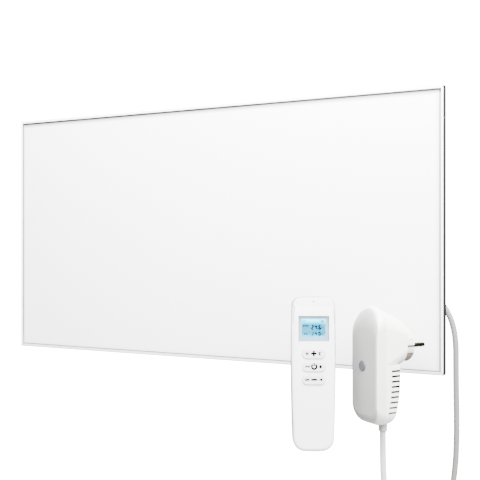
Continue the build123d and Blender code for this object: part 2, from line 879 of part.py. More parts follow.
def biarc(start, start_heading, end, end_heading):
    """Two arcs that meet smoothly between two points with their headings."""
    chord = end - start
    both = start_heading + end_heading
    share = 2 * (1 - start_heading.dot(end_heading))
    along = chord.dot(both)
    reach = (math.sqrt(along ** 2 + share * chord.dot(chord)) - along) / share
    joint = (start + end) / 2 + (start_heading - end_heading) * (reach / 2)
    first = Edge.make_tangent_arc(start, start_heading, joint)
    return [first, Edge.make_tangent_arc(joint, first % 1, end)]


def round_tube(edges, radius):
    path = Wire(edges)
    section = Plane(origin=path @ 0, z_dir=path % 0) * Circle(radius)
    return sweep(section, path=path)


coil_start = coil_point(0) + Vector(0, 0, cord_diameter)
coil_end = coil_point(coil_turns) + Vector(0, 0, cord_diameter)


def coil_least_gap(edges):
    """Least clear gap between two stretches of the coil that aren't neighbours along it."""
    per_edge = 12
    points = [edge @ (i / per_edge) for edge in edges for i in range(per_edge)]
    apart = per_edge * 2
    least = min((points[i] - points[j]).length
                for i in range(len(points)) for j in range(i + apart, len(points)))
    return least - cord_diameter


def cord_coil():
    steps = round(coil_turns * 4)
    turns = [i * coil_turns / steps for i in range(steps + 1)]
    edges = [Edge.make_line(coil_start, coil_point(0))]
    for a, b in zip(turns, turns[1:]):
        edges += biarc(coil_point(a), coil_heading(a), coil_point(b), coil_heading(b))
    edges.append(Edge.make_line(coil_point(coil_turns), coil_end))
    print("coil: length", round(sum(e.length for e in edges)), "least gap to itself",
          round(coil_least_gap(edges), 2))
    return round_tube(edges, cord_diameter / 2)


def cord_route_panel():
    """From the boot to the coil: right behind the panel, down past its edge and in front of
    nothing else. Points chosen by hand."""
    y = cord_axis_y
    return [(cord_start_x, y, box_centre_z), (258.2, y, box_centre_z), (290.2, y, -75.5),
            (308.6, y, -107.5), (308.7, y, -166.0), (309.7, y, -224.0), (308.6, -13.0, -261.0),
            (coil_start.X, coil_start.Y, -296.0), tuple(coil_start)]


def cord_route_receiver():
    """From the coil up to the receiver's boot. Points chosen by hand."""
    return [tuple(coil_end), (coil_end.X, coil_end.Y, -299.0), (249.7, -91.2, -271.0),
            (receiver_exit.X, receiver_exit.Y, -243.0), tuple(receiver_exit)]


def cord_run(name, points):
    """Tube along straight runs joined by the largest arcs that the runs allow."""
    corners = [Vector(*p) for p in points]
    runs = [b - a for a, b in zip(corners, corners[1:])]
    radii = []
    for before, after in zip(runs, runs[1:]):
        half_turn = math.radians(before.get_angle(after)) / 2
        radii.append(bend_share * min(before.length, after.length) / math.tan(half_turn))
    path = FilletPolyline(*points, radius=radii)
    section = Plane(origin=path @ 0, z_dir=path % 0) * Circle(cord_diameter / 2)
    tube = sweep(section, path=path)
    print(name, "length", round(path.length), "radii", [round(r) for r in radii],
          "volume share", round(tube.volume / (math.pi * cord_diameter ** 2 / 4 * path.length), 4))
    return tube


def cord_run_panel():
    return cord_run("cord_run_panel", cord_route_panel())


def cord_run_receiver():
    return cord_run("cord_run_receiver", cord_route_receiver())


def cord_tie():
    """Flat tie round the turns at the top of the coil, with its small lock."""
    top_share = 0.75
    at_top = [top_share + i for i in range(math.ceil(coil_turns - top_share))]
    low = min(coil_radius(t) for t in at_top) - cord_diameter / 2 - tie_play
    high = max(coil_radius(t) for t in at_top) + cord_diameter / 2 + tie_play
    deep = 2 * coil_half_width + cord_diameter + 2 * tie_play
    tall = high - low
    outer = RectangleRounded(tall + 2 * tie_thick, deep + 2 * tie_thick, tie_round + tie_thick)
    place = Plane(origin=coil_centre + Vector(0, 0, (low + high) / 2), x_dir=(0, 0, 1),
                  z_dir=coil_across)
    ring = extrude(place * (outer - RectangleRounded(tall, deep, tie_round)), tie_width / 2,
                   both=True)
    lock = place * Pos(0, deep / 2 + tie_thick, 0)
    return ring + lock * Box(tie_lock, tie_thick, tie_lock)


# ---------------------------------------------------------------- receiver
def arched_outline(half, low, high, arch, corner):
    """Upright outline: half an ellipse on top and two rounded corners at the bottom."""
    spring = high - arch
    sides = [Line((half, low + corner), (half, spring)),
             EllipticalCenterArc((0, spring), half, arch, 0, arc_size=180),
             Line((-half, spring), (-half, low + corner)),
             CenterArc((corner - half, low + corner), corner, 180, 90),
             Line((corner - half, low), (half - corner, low)),
             CenterArc((half - corner, low + corner), corner, 270, 90)]
    return make_face(Wire(sides))


def receiver_outline(inset):
    return arched_outline(receiver_width / 2 - inset, inset - receiver_height / 2,
                          receiver_height / 2 - inset, receiver_arch - inset,
                          receiver_bottom_round - inset)


def round_inset(fall, radius, depth):
    """How far an edge draws in at a depth behind the face: it bends over a height, the fall,
    and over a depth, the radius."""
    left = max(0.0, radius - depth) / radius
    return fall * (1 - math.sqrt(1 - left ** 2))


def receiver_front(inset, far):
    """Front half of the casing, or its hollow where it is inset, down to the depth far: it bends
    back at the top and the bottom, and its sides have a small rounding."""
    half = receiver_width / 2 - inset
    end = receiver_height / 2 - inset
    side_round = receiver_side_round - inset
    bend = receiver_split - inset
    sections = []
    for i in range(receiver_front_steps + 1):
        depth = (far - inset) * (i / receiver_front_steps) ** 2
        side = round_inset(side_round, side_round, depth)
        top = round_inset(receiver_top_fall - inset, bend, depth)
        low = round_inset(receiver_bottom_fall - inset, bend, depth)
        arch = receiver_arch - inset - receiver_arch_share * top
        outline = arched_outline(half - side, low - end, end - top, arch,
                                 receiver_bottom_round - inset - side)
        sections.append(Plane.XZ.offset(-inset - depth) * outline)
    return loft(sections)


def nose_section(depth, half, low, high, arch, corner):
    return Plane.XZ.offset(-depth) * arched_outline(half, low, high, arch, corner)


def receiver_bow(z):
    """How far the back bows in at a height."""
    reach = max(0.0, receiver_bow_from - z)
    return receiver_bow_radius - math.sqrt(receiver_bow_radius ** 2 - reach ** 2)


def back_profile(inset):
    """Side view of the casing: a straight back that bows in and turns under the bottom."""
    back = receiver_depth - inset
    low = inset - receiver_height / 2
    bow = receiver_bow_radius - inset
    heel = receiver_heel_round - inset
    heel_turn = math.radians(receiver_heel_turn)
    heel_z = low + heel * math.sin(heel_turn)
    heel_end = heel * math.cos(heel_turn)
    fall = math.asin((receiver_bow_from - heel_z) / (bow - heel))
    heel_depth = back - bow + (bow - heel) * math.cos(fall)
    turn = math.degrees(fall)
    outline = [Line((0, receiver_height), (back, receiver_height)),
               Line((back, receiver_height), (back, receiver_bow_from)),
               CenterArc((back - bow, receiver_bow_from), bow, 0, -turn),
               CenterArc((heel_depth, heel_z), heel, -turn, turn - receiver_heel_turn),
               Line((heel_depth + heel_end, low), (0, low)),
               Line((0, low), (0, receiver_height))]
    side = Plane(origin=(0, 0, 0), x_dir=(0, 1, 0), z_dir=(1, 0, 0))
    return extrude(side * make_face(Wire(outline)), receiver_width, both=True)


def receiver_back(inset):
    """Back half of the casing, or its hollow where it is inset: a box with a bowed back, and
    above it the nose that narrows to the plug's shoulder."""
    top = receiver_height / 2 - inset
    box = slab(receiver_outline(inset), (receiver_split, receiver_depth)) & back_profile(inset)
    if inset == 0:
        rim = box.edges().filter_by(lambda e: e.center().Y > receiver_split + receiver_back_round)
        box = fillet(rim.filter_by(Axis.Y, reverse=True), receiver_back_round)
    box = box & block((-receiver_width, receiver_width), (receiver_split, receiver_depth),
                      (-top, shelf_z - inset))
    root = nose_section(receiver_split, receiver_width / 2 - inset, nose_root_bottom + inset, top,
                        receiver_arch - inset, nose_root_round - inset)
    tip = nose_section(nose_end - inset, nose_width / 2 - inset, nose_bottom + inset,
                       nose_top - inset, nose_arch - inset, nose_round - inset)
    nose = loft([root, tip], ruled=True)
    if inset == 0:
        nose = fillet(nose.edges().group_by(Axis.Y)[-1], nose_rim_round)
    return box + nose


def receiver_passage():
    """Opening between the hollow of the box and the hollow of the nose."""
    z = (shelf_z - passage_reach, shelf_z + passage_reach)
    wide = block((-passage_wide, passage_wide), (receiver_split, passage_near), z)
    return wide + block((-passage_narrow, passage_narrow),
                        (receiver_split, receiver_depth - receiver_wall), z)


def receiver_post_places():
    return [(s * receiver_screw_x, receiver_screw_z) for s in (-1, 1)]


def receiver_front_cover():
    cover = receiver_front(0, receiver_split)
    cover -= receiver_front(receiver_wall, receiver_split + cut_over)
    cover -= rod_y(button_x, (-cut_over, receiver_wall + cut_over), button_z,
                   button_radius + button_play)
    posts = [rod_y(x, (receiver_wall / 2, receiver_board_depth), z, receiver_post_radius)
             for x, z in receiver_post_places()]
    pilots = [rod_y(x, (2 * receiver_wall, receiver_board_depth + cut_over), z,
                    receiver_screw_radius + hole_play) for x, z in receiver_post_places()]
    return cover + posts - pilots


def vent_slots():
    slots = []
    wide = receiver_width / 2
    for i in range(vent_count):
        z = vent_top - i * vent_pitch
        depth = vent_from - receiver_bow(z)
        for s in (-1, 1):
            x = sorted((s * (wide - receiver_wall - cut_over), s * (wide + cut_over)))
            slots.append(block(x, (depth, depth + vent_length),
                               (z - vent_height / 2, z + vent_height / 2)))
    return slots


def cord_boss():
    """Socket on the heel that the boot sits in, with a sloping top."""
    radius = receiver_boot_radius + hole_play + cord_boss_wall
    body = turned([(0, cord_boss_low), (radius, cord_boss_low), (radius, cord_boss_high),
                   (radius - cord_boss_slope, cord_boss_high + cord_boss_slope),
                   (0, cord_boss_high + cord_boss_slope)])
    return Pos(0, cord_exit_depth, 0) * body


def receiver_seat():
    """Depth of the face that the screws' heads rest on."""
    return (receiver_depth - receiver_bow(receiver_screw_z) - receiver_screw_sunk
            - receiver_screw_head_height)


def receiver_rear_shell():
    shell = receiver_back(0) - receiver_back(receiver_wall) - receiver_passage()
    shell -= block((-receiver_width, receiver_width),
                   (receiver_split - cut_over, receiver_split + seam_play),
                   (-receiver_height, receiver_height))
    inner_back = receiver_depth - receiver_bow(receiver_screw_z) - receiver_wall / 2
    posts = [rod_y(x, (board_back_depth + gland_play, inner_back), z, receiver_post_radius)
             for x, z in receiver_post_places()]
    holes = [rod_y(x, (receiver_split, receiver_depth + cut_over), z, receiver_screw_radius + hole_play)
             for x, z in receiver_post_places()]
    wells = [rod_y(x, (receiver_seat(), receiver_depth + cut_over), z,
                   receiver_screw_head + hole_play) for x, z in receiver_post_places()]
    core_hole = rod_y(0, (nose_end - 2 * receiver_wall, nose_end + cut_over), pin_axis_z,
                      core_radius + hole_play)
    boot_hole = rod_z(0, cord_exit_depth, (receiver_boot_end, receiver_boot_top),
                      receiver_boot_radius + hole_play)
    return shell + posts + cord_boss() - holes - wells - vent_slots() - core_hole - boot_hole


def receiver_screws():
    piece = screw(receiver_screw_radius, receiver_screw_length, receiver_screw_head,
                  receiver_screw_head_height)
    return [facing_wall(x, receiver_seat(), z) * piece for x, z in receiver_post_places()]


def receiver_button():
    cap = rod_y(button_x, (-button_proud, receiver_wall + button_play), button_z, button_radius)
    cap = fillet(cap.edges().group_by(Axis.Y)[0], button_round)
    flange_from = receiver_wall + button_play
    flange = rod_y(button_x, (flange_from, flange_from + button_flange), button_z,
                   button_flange_radius)
    stem = rod_y(button_x, (flange_from, switch_top() - button_travel - button_spare), button_z,
                 button_stem_radius)
    return cap + flange + stem


def switch_top():
    return receiver_board_depth - switch_height - switch_plunger


def button_switch():
    body = centred_block(button_x, (receiver_board_depth - switch_height, receiver_board_depth),
                         button_z, switch_size, switch_size)
    plunger = rod_y(button_x, (switch_top(), receiver_board_depth - switch_height), button_z,
                    switch_plunger_radius)
    return body + plunger


def receiver_board():
    half = receiver_board_width / 2
    board = block((-half, half), (receiver_board_depth, board_back_depth),
                  (receiver_board_low, receiver_board_high))
    holes = [rod_y(x, (receiver_board_depth - cut_over, board_back_depth + cut_over), z,
                   receiver_screw_radius + hole_play) for x, z in receiver_post_places()]
    return board - holes


def on_board(x, z, size):
    """Moulded case that stands on the back of the receiver's board."""
    body = centred_block(x, (board_back_depth, board_back_depth + size[1]), z, size[0], size[2])
    return fillet(body.edges().group_by(Axis.Y)[-1], part_round)


def relay():
    return on_board(relay_x, relay_z, relay_size)


def capacitor():
    return on_board(0, capacitor_z, capacitor_size)


def pin_places():
    return [(s * pin_spacing / 2, pin_axis_z) for s in (-1, 1)]


def clip_sector(radius_from, radius_to, y, half_angle, side):
    """Part of a ring about the plug's axis, above it (side 1) or below it (side -1)."""
    ring = rod_y(0, y, pin_axis_z, radius_to) - rod_y(0, y, pin_axis_z, radius_from)
    reach = 2 * radius_to
    across = reach * math.tan(math.radians(half_angle))
    wedge = make_face(Polyline((0, pin_axis_z), (-across, pin_axis_z + side * reach),
                               (across, pin_axis_z + side * reach), close=True))
    return ring & slab(wedge, y)


def plug_core():
    core = rod_y(0, (core_from, core_face), pin_axis_z, core_radius)
    core = chamfer(core.edges().group_by(Axis.Y)[-1], core_chamfer)
    notches = []
    for s in (-1, 1):
        x = sorted((s * (core_radius - notch_depth), s * (core_radius + cut_over)))
        notches.append(block(x, (nose_end + hole_play, core_face + cut_over),
                             (pin_axis_z - notch_height / 2, pin_axis_z + notch_height / 2)))
    recess_radius = core_radius + clip_proud - clip_thick - hole_play / 2
    recesses = [clip_sector(recess_radius, core_radius + cut_over, (nose_end, core_face + cut_over),
                            clip_half_angle + clip_angle_play, s) for s in (-1, 1)]
    holes = [rod_y(x, (core_from - cut_over, core_face + cut_over), z, pin_root_radius + hole_play / 2)
             for x, z in pin_places()]
    return core - notches - recesses - holes


def plug_pins():
    pins = []
    for x, z in pin_places():
        pin = rod_y(x, (core_face - pin_radius, core_face + pin_length), z, pin_radius)
        pin = fillet(pin.edges().group_by(Axis.Y)[-1], pin_dome)
        root = rod_y(x, (pin_root, core_face), z, pin_root_radius)
        shoulder = rod_y(x, (core_from - pin_shoulder_length, core_from - hole_play), z,
                         pin_shoulder_radius)
        pins.append(pin + root + shoulder)
    return pins


def earth_clips():
    outer = core_radius + clip_proud
    y = (nose_end + clip_margin / 2, core_face - clip_margin)
    return [clip_sector(outer - clip_thick, outer, y, clip_half_angle, s) for s in (-1, 1)]


def receiver_boot():
    body = turned([(0, receiver_boot_top), (receiver_boot_radius, receiver_boot_top),
                   (receiver_boot_radius, receiver_boot_shoulder),
                   (receiver_boot_tip, receiver_boot_end), (0, receiver_boot_end)])
    return Pos(0, cord_exit_depth, 0) * body


# ---------------------------------------------------------------- remote
def remote_outline(inset):
    """Four arcs: slightly bowed ends and sides that draw in towards the bottom."""
    top = remote_length / 2 - inset
    top_x = remote_top_half_width - inset
    low_x = remote_bottom_half_width - inset
    side = remote_half_width - inset
    corner = top - remote_end_bow
    outline = [ThreePointArc((-top_x, corner), (0, top), (top_x, corner)),
               ThreePointArc((top_x, corner), (side, 0), (low_x, -corner)),
               ThreePointArc((low_x, -corner), (0, -top), (-low_x, -corner)),
               ThreePointArc((-low_x, -corner), (-side, 0), (-top_x, corner))]
    sketch = make_face(Wire(outline))
    sketch = fillet(sketch.vertices().group_by(Axis.Y)[-1], remote_top_round - inset)
    return fillet(sketch.vertices().group_by(Axis.Y)[0], remote_bottom_round - inset)


def key_openings():
    wide = key_wide + 2 * key_gap
    high = key_high + 2 * key_gap
    return [slab(Pos(0, z) * SlotOverall(wide, high), (-cut_over, remote_wall + cut_over))
            for z in key_heights.values()]


def remote_post_places():
    return [(s * remote_screw_x, remote_screw_z) for s in (-1, 1)]


def head_cut():
    """What the sloping head takes off the front, above head_from."""
    rise = remote_length / 2 - head_from + 1
    back = rise * math.tan(math.radians(head_slope))
    wedge = make_face(Plane.YZ * Polyline((0, head_from), (back, head_from + rise),
                                          (-cut_over, head_from + rise), (-cut_over, head_from), close=True))
    return extrude(wedge, remote_half_width * 2, both=True)


def remote_front_shell():
    shell = slab(remote_outline(0), (0, remote_split))
    shell = fillet(shell.edges().group_by(Axis.Y)[0], remote_edge_round)
    shell -= head_cut()
    hollow = slab(remote_outline(remote_wall), (remote_wall, remote_split + cut_over))
    hollow -= block((-remote_half_width, remote_half_width), (0, head_wall_depth),
                    (head_wall_from, remote_length))
    shell -= hollow
    posts = [rod_y(x, (head_wall_depth - cut_over, remote_split), z, remote_post_radius)
             for x, z in remote_post_places()]
    pilots = [rod_y(x, (head_wall_depth + cut_over, remote_split + cut_over), z,
                    remote_screw_radius + hole_play) for x, z in remote_post_places()]
    window = centred_block(0, (-cut_over, remote_wall + cut_over), window_z, window_width + 2 * window_play,
                           window_height + 2 * window_play)
    led_hole = rod_y(0, (-cut_over, head_wall_depth + cut_over), led_z, led_radius + hole_play)
    return shell + posts - pilots - window - key_openings() - led_hole


def lcd_lens():
    return centred_block(0, (lens_sunk, lens_sunk + lens_thick), window_z, window_width,
                         window_height)


def lcd_module():
    return centred_block(0, (remote_wall, remote_board_depth), window_z, module_width,
                         module_height)


def remote_key(name):
    z = key_heights[name]
    cap = slab(Pos(0, z) * SlotOverall(key_wide, key_high), (-key_proud, flange_depth))
    cap = fillet(cap.edges().group_by(Axis.Y)[0], key_edge)
    flange = slab(Pos(0, z) * SlotOverall(key_wide + 2 * key_flange_margin,
                                          key_high + 2 * key_flange_margin),
                  (flange_depth, flange_depth + key_flange))
    return cap + flange


def keypad_mat():
    height = 2 * key_pitch + key_high + 2 * mat_margin
    sheet = centred_block(0, (mat_depth, remote_board_depth), key_middle_z, mat_width, height)
    domes = [rod_y(0, (dome_depth, mat_depth), z, dome_radius) for z in key_heights.values()]
    return sheet + domes


def remote_board():
    half = remote_board_width / 2
    return block((-half, half), (remote_board_depth, remote_board_depth + remote_board_thick),
                 (remote_board_low, remote_board_high))


def remote_led():
    front = (led_z - head_from) * math.tan(math.radians(head_slope)) + led_sunk
    return rod_y(0, (front, front + led_length), led_z, led_radius)


def remote_back_solid():
    body = slab(remote_outline(0), (remote_split, remote_depth))
    return fillet(body.edges().group_by(Axis.Y)[-1], remote_edge_round)


def battery_top():
    return battery_low + battery_length


def tray_walls():
    """The two walls that hold the battery contacts."""
    half = 2 * battery_radius + battery_gap
    y = (remote_board_depth + remote_board_thick + door_play,
         remote_depth - remote_wall - door_play)
    low = battery_low - contact_bump - contact_thick - contact_play
    high = battery_top() + battery_button + contact_bump + contact_thick
    return [block((-half, half), y, (low - tray_wall, low)),
            block((-half, half), y, (high, high + tray_wall))]


def battery_bay():
    """Walls round the two cells, with ribs that tie them to the casing's sides."""
    inner = 2 * battery_radius + battery_gap
    outer = inner + tray_wall
    y = (remote_split + seam_play, remote_depth - remote_wall - door_play)
    end_walls = tray_walls()
    low = end_walls[0].bounding_box().min.Z
    bridge_z = (door_top + door_play, door_top + door_play + remote_wall)
    rails = [block(x, y, (low, bridge_z[1])) for x in ((-outer, -inner), (inner, outer))]
    side = remote_half_width
    ribs = [block(x, y, (z, z + tray_wall)) for x in ((-side, -inner), (inner, side))
            for z in (low, (low + battery_top()) / 2, battery_top())]
    bridge = block((-side, side), (y[1] - remote_wall, remote_depth - remote_wall / 2),
                   bridge_z)
    return end_walls[0] + end_walls[1] + rails + ribs + bridge


def remote_rear_shell():
    shell = remote_back_solid()
    shell -= slab(remote_outline(remote_wall), (remote_split - cut_over, remote_depth - remote_wall))
    shell -= block((-remote_half_width, remote_half_width),
                   (remote_split - cut_over, remote_split + seam_play), (-remote_length, remote_length))
    wide = door_half_width + door_play
    shell -= block((-wide, wide), (remote_depth - remote_wall - door_play, remote_depth + cut_over),
                   (-remote_length, door_top + door_play))
    bay = battery_bay() & remote_back_solid()
    seat = remote_depth - remote_screw_sunk - remote_screw_head_height
    posts = [rod_y(x, (remote_split + seam_play, remote_depth - remote_wall / 2), z,
                   remote_post_radius) for x, z in remote_post_places()]
    holes = [rod_y(x, (remote_split - cut_over, remote_depth + cut_over), z, remote_screw_radius + hole_play)
             for x, z in remote_post_places()]
    wells = [rod_y(x, (seat, remote_depth + cut_over), z, remote_screw_head + hole_play)
             for x, z in remote_post_places()]
    return shell + bay + posts - holes - wells


def battery_door():
    body = remote_back_solid() & block((-door_half_width, door_half_width),
                                       (remote_depth - remote_wall, remote_depth + cut_over),
                                       (-remote_length, door_top))
    first = door_top - 3 * door_ridge_pitch
    grooves = [centred_block(0, (remote_depth - door_ridge_depth, remote_depth + cut_over),
                             first - i * door_ridge_pitch, door_ridge_width, door_ridge_thick)
               for i in range(door_ridges)]
    return body - grooves


def battery_places():
    return [(s * (battery_radius + battery_gap / 2), s) for s in (-1, 1)]


def batteries():
    cells = []
    for x, s in battery_places():
        can = rod_z(x, battery_axis_depth, (battery_low, battery_top()), battery_radius)
        cap_z = (battery_top(), battery_top() + battery_button) if s > 0 \
            else (battery_low - battery_button, battery_low)
        cells.append(can + rod_z(x, battery_axis_depth, cap_z, battery_button_radius))
    return cells


def battery_contacts():
    """A plate with a bump at each end of each cell."""
    walls = tray_walls()
    low = walls[0].bounding_box().max.Z
    high = walls[1].bounding_box().min.Z
    plates = []
    for x, s in battery_places():
        wide = (x - contact_half_width, x + contact_half_width)
        deep = (battery_axis_depth - contact_half_width,
                battery_axis_depth + contact_half_width)
        low_reach = battery_low - contact_play - (battery_button if s < 0 else 0)
        high_reach = battery_top() + contact_play + (battery_button if s > 0 else 0)
        plates.append(block(wide, deep, (low, low + contact_thick))
                      + rod_z(x, battery_axis_depth, (low, low_reach), battery_button_radius))
        plates.append(block(wide, deep, (high - contact_thick, high))
                      + rod_z(x, battery_axis_depth, (high_reach, high),
                              battery_button_radius))
    return plates


def remote_screws():
    piece = screw(remote_screw_radius, remote_screw_length, remote_screw_head,
                  remote_screw_head_height)
    seat = remote_depth - remote_screw_sunk - remote_screw_head_height
    return [facing_wall(x, seat, z) * piece for x, z in remote_post_places()]


# ---------------------------------------------------------------- all pieces, by node
def solids_of(shape):
    """The separate solids of one piece or of a list of pieces."""
    if isinstance(shape, (list, tuple)):
        return [solid for piece in shape for solid in piece.solids()]
    return list(shape.solids())


def save(node, shape, place=Location((0, 0, 0))):
    solids = [place * solid for solid in solids_of(shape)]
    export_step(solids[0] if len(solids) == 1 else Compound(children=solids),
                f"parts/{node}.step")


panel_pieces = {
    "front_plate": front_plate(),
    "frame_top": frame_bar(panel_width, panel_height / 2, 0),
    "frame_right": frame_bar(panel_height, panel_width / 2, 90),
    "frame_bottom": frame_bar(panel_width, panel_height / 2, 180),
    "frame_left": frame_bar(panel_height, panel_width / 2, 270),
    "corner_keys": corner_keys(),
    "corner_screws": corner_screws(),
    "heating_film": heating_film(),
    "busbars": busbars(),
    "reflector_foil": reflector_foil(),
    "insulation_board": insulation_board(),
    "back_plate": back_plate(),
    "back_plate_rivets": back_plate_rivets(),
    "hanger_hooks": hanger_hooks(),
    "hook_rivets": hook_rivets(),
    "wall_rail_upper": wall_rail(rail_levels()["upper"]),
    "wall_rail_lower": wall_rail(rail_levels()["lower"]),
    "junction_box_base": junction_box_base(),
    "junction_box_lid": junction_box_lid(),
    "junction_box_screws": junction_box_screws(),
    "terminal_block": terminal_block(),
    "thermal_cutout": thermal_cutout(),
    "cord_clamp": cord_clamp(),
    "earth_stud": earth_stud(),
    "inner_leads": inner_leads(),
    "cord_tail": cord_tail(),
    "cable_gland": cable_gland(),
    "gland_nut": gland_nut(),
    "cord_boot": cord_boot(),
    "cord_run_panel": cord_run_panel(),
    "cord_coil": cord_coil(),
    "cord_tie": cord_tie(),
    "cord_run_receiver": cord_run_receiver(),
}

receiver_pieces = {
    "receiver_front_cover": receiver_front_cover(),
    "receiver_rear_shell": receiver_rear_shell(),
    "receiver_screws": receiver_screws(),
    "receiver_button": receiver_button(),
    "button_switch": button_switch(),
    "receiver_board": receiver_board(),
    "relay": relay(),
    "capacitor": capacitor(),
    "plug_core": plug_core(),
    "plug_pins": plug_pins(),
    "earth_clips": earth_clips(),
    "receiver_boot": receiver_boot(),
}

remote_pieces = {
    "remote_front_shell": remote_front_shell(),
    "remote_rear_shell": remote_rear_shell(),
    "battery_door": battery_door(),
    "remote_screws": remote_screws(),
    "lcd_lens": lcd_lens(),
    "lcd_module": lcd_module(),
    "remote_board": remote_board(),
    "remote_led": remote_led(),
    "key_plus": remote_key("plus"),
    "key_power": remote_key("power"),
    "key_minus": remote_key("minus"),
    "keypad_mat": keypad_mat(),
    "batteries": batteries(),
    "battery_contacts": battery_contacts(),
}

for node, piece in panel_pieces.items():
    save(node, piece)
for node, piece in receiver_pieces.items():
    save(node, piece, receiver_place)
for node, piece in remote_pieces.items():
    save(node, piece, remote_place)
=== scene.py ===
import json
import math

import bpy
import numpy as np
from bpy.props import (FloatProperty, FloatVectorProperty, IntProperty, PointerProperty,
                       StringProperty)
from bpy.types import Operator, Panel, PropertyGroup
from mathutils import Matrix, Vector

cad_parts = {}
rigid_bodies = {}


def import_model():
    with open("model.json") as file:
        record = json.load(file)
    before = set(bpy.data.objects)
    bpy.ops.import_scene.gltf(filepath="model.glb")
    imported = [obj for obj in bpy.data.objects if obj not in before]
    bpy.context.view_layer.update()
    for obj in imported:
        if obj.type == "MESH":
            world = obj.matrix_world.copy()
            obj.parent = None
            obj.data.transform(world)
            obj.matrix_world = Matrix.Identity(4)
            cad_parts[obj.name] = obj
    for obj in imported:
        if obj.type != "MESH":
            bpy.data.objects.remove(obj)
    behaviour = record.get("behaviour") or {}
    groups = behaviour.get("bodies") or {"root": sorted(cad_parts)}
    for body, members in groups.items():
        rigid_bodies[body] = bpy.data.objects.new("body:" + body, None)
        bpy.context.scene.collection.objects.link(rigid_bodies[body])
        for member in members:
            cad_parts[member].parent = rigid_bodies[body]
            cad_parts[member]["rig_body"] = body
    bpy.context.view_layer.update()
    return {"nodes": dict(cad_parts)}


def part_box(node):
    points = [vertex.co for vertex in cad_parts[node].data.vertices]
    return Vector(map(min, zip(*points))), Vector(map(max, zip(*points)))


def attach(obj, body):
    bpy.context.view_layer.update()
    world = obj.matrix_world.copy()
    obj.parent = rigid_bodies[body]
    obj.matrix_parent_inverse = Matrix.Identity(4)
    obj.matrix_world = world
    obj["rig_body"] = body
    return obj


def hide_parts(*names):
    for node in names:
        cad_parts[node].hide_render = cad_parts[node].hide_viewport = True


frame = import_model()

bl_info = {
    "name": "Infrared panel heater",
    "version": (1, 0, 0),
    "blender": (4, 5, 0),
    "location": "3D View > Sidebar > Panel heater",
    "description": "A wall-hung radiant panel with its remote and its plug-in receiver",
    "category": "Object",
}

MM = 0.001                                  # metres in a millimetre
MERGE_WITHIN = 0.000002                     # metres between points that are one
MAIN_BODY = "heater"

# Local frames, in millimetres and degrees: x to the right, y into the piece, z up.
REMOTE_AT = (192.4, -148.4, -150.2)
REMOTE_TURN = 26.65
RECEIVER_AT = (233.7, -111.7, -142.6)
RECEIVER_TURN = -35.8

# The panel's front, in metres.
PLATE_FACE_Y = -0.0334
LIP_BACK_Y = -0.0328                        # the back of the frame's lips, and the gap's floor
# Per axis, where the painted shade on the plate along the frame's lips begins, where it is full,
# and how strong it is there.
PAINTED_SHADE_BANDS = (("X", 0.2895, 0.295, 0.30), ("X", -0.292, -0.2945, 0.4), ("Z", -0.150, -0.155, 0.12))
# Colour of the painted shade along the lips.
PAINTED_SHADE_COLOUR = (0.10, 0.10, 0.10)
FILM_PITCH = 0.014                          # from one carbon band of the film to the next
# Per lip, its axis, its sign, and how far out the shadow gap's painted shade reaches on it.
GAP_EDGES = (("X", 1.0, 0.2971), ("X", -1.0, 0.2961), ("Z", 1.0, 0.1566), ("Z", -1.0, 0.1562))

# The cord's route, in millimetres, as the part's source has it.
PANEL_ROUTE = (
    (231.3, -12, -57), (258.2, -12, -57), (290.2, -12, -75.5), (308.6, -12, -107.5),
    (308.7, -12, -166), (309.7, -12, -224), (308.6, -13, -261),
)
PANEL_STRETCH = (308.6, -12)
CORD_EXIT_IN_RECEIVER = (0, 25.2, -71.5)
COIL_TURNS = 6.5
COIL_LAYERS = 4                             # side by side along the coil's axis
COIL_MIDDLE_RADIUS = 36
COIL_MIDDLE_Z = -330
COIL_LEAD = 6.5                             # straight run into and out of the coil
STEP_TURNS = 0.5                            # a climb from one layer to the next, in turns
ABOVE_COIL_PANEL_Z = -296
ABOVE_COIL_RECEIVER_Z = -299
TO_RECEIVER = (249.7, -91.2, -271)
BELOW_RECEIVER_Z = -243
PANEL_BOOT_AT = (207.3, -12.0, -57.0)
RECEIVER_BOOT_AT = (0.0, 25.2, -51.0)       # in the receiver's frame

# The receiver's details in its own frame, in millimetres.
PIN_HEIGHT = 19.2
VENTS = 9                                   # slots in the receiver's side, from the top one
VENT_TOP = -4.7
VENT_PITCH = 5.4
VENT_HEIGHT = 1.4
VENT_FROM = 20.0                            # depth at which they begin, less the back's bow
VENT_LENGTH = 9.8
BOW_FROM = -14.0                            # the back bows in below this height
BOW_RADIUS = 130.0

# The remote's details in its own frame, in millimetres.
WINDOW_Z = 47.5                             # the display window's middle
WINDOW_WIDE = 31.0
WINDOW_HIGH = 25.6
PRINT_DEPTH = (1.58, 1.76)                  # of the digits' front and back
KEY_FRONT = -0.9                            # front of the key caps
KEY_PRINT_BACK = -0.78                      # how far in the marks begin, under the cap's skin


# ---------------------------------------------------------------- surfaces

def row_frame(points, at, turn):
    """Row-frame metres of points in a local frame: turned about the upright by turn degrees,
    then moved to the local frame's origin."""
    points = np.asarray(points, float)
    angle = math.radians(turn)
    x = at[0] + points[..., 0] * math.cos(angle) - points[..., 1] * math.sin(angle)
    y = at[1] + points[..., 0] * math.sin(angle) + points[..., 1] * math.cos(angle)
    z = at[2] + points[..., 2]
    return np.stack([x, y, z], axis=-1) * MM


def signed_volume(points, faces):
    """Six times the volume inside the faces: the sum of each triangle's box product."""
    a, b, c = (points[faces[:, i]] for i in range(3))
    return float(np.einsum("ij,ij->i", a, np.cross(b, c)).sum())


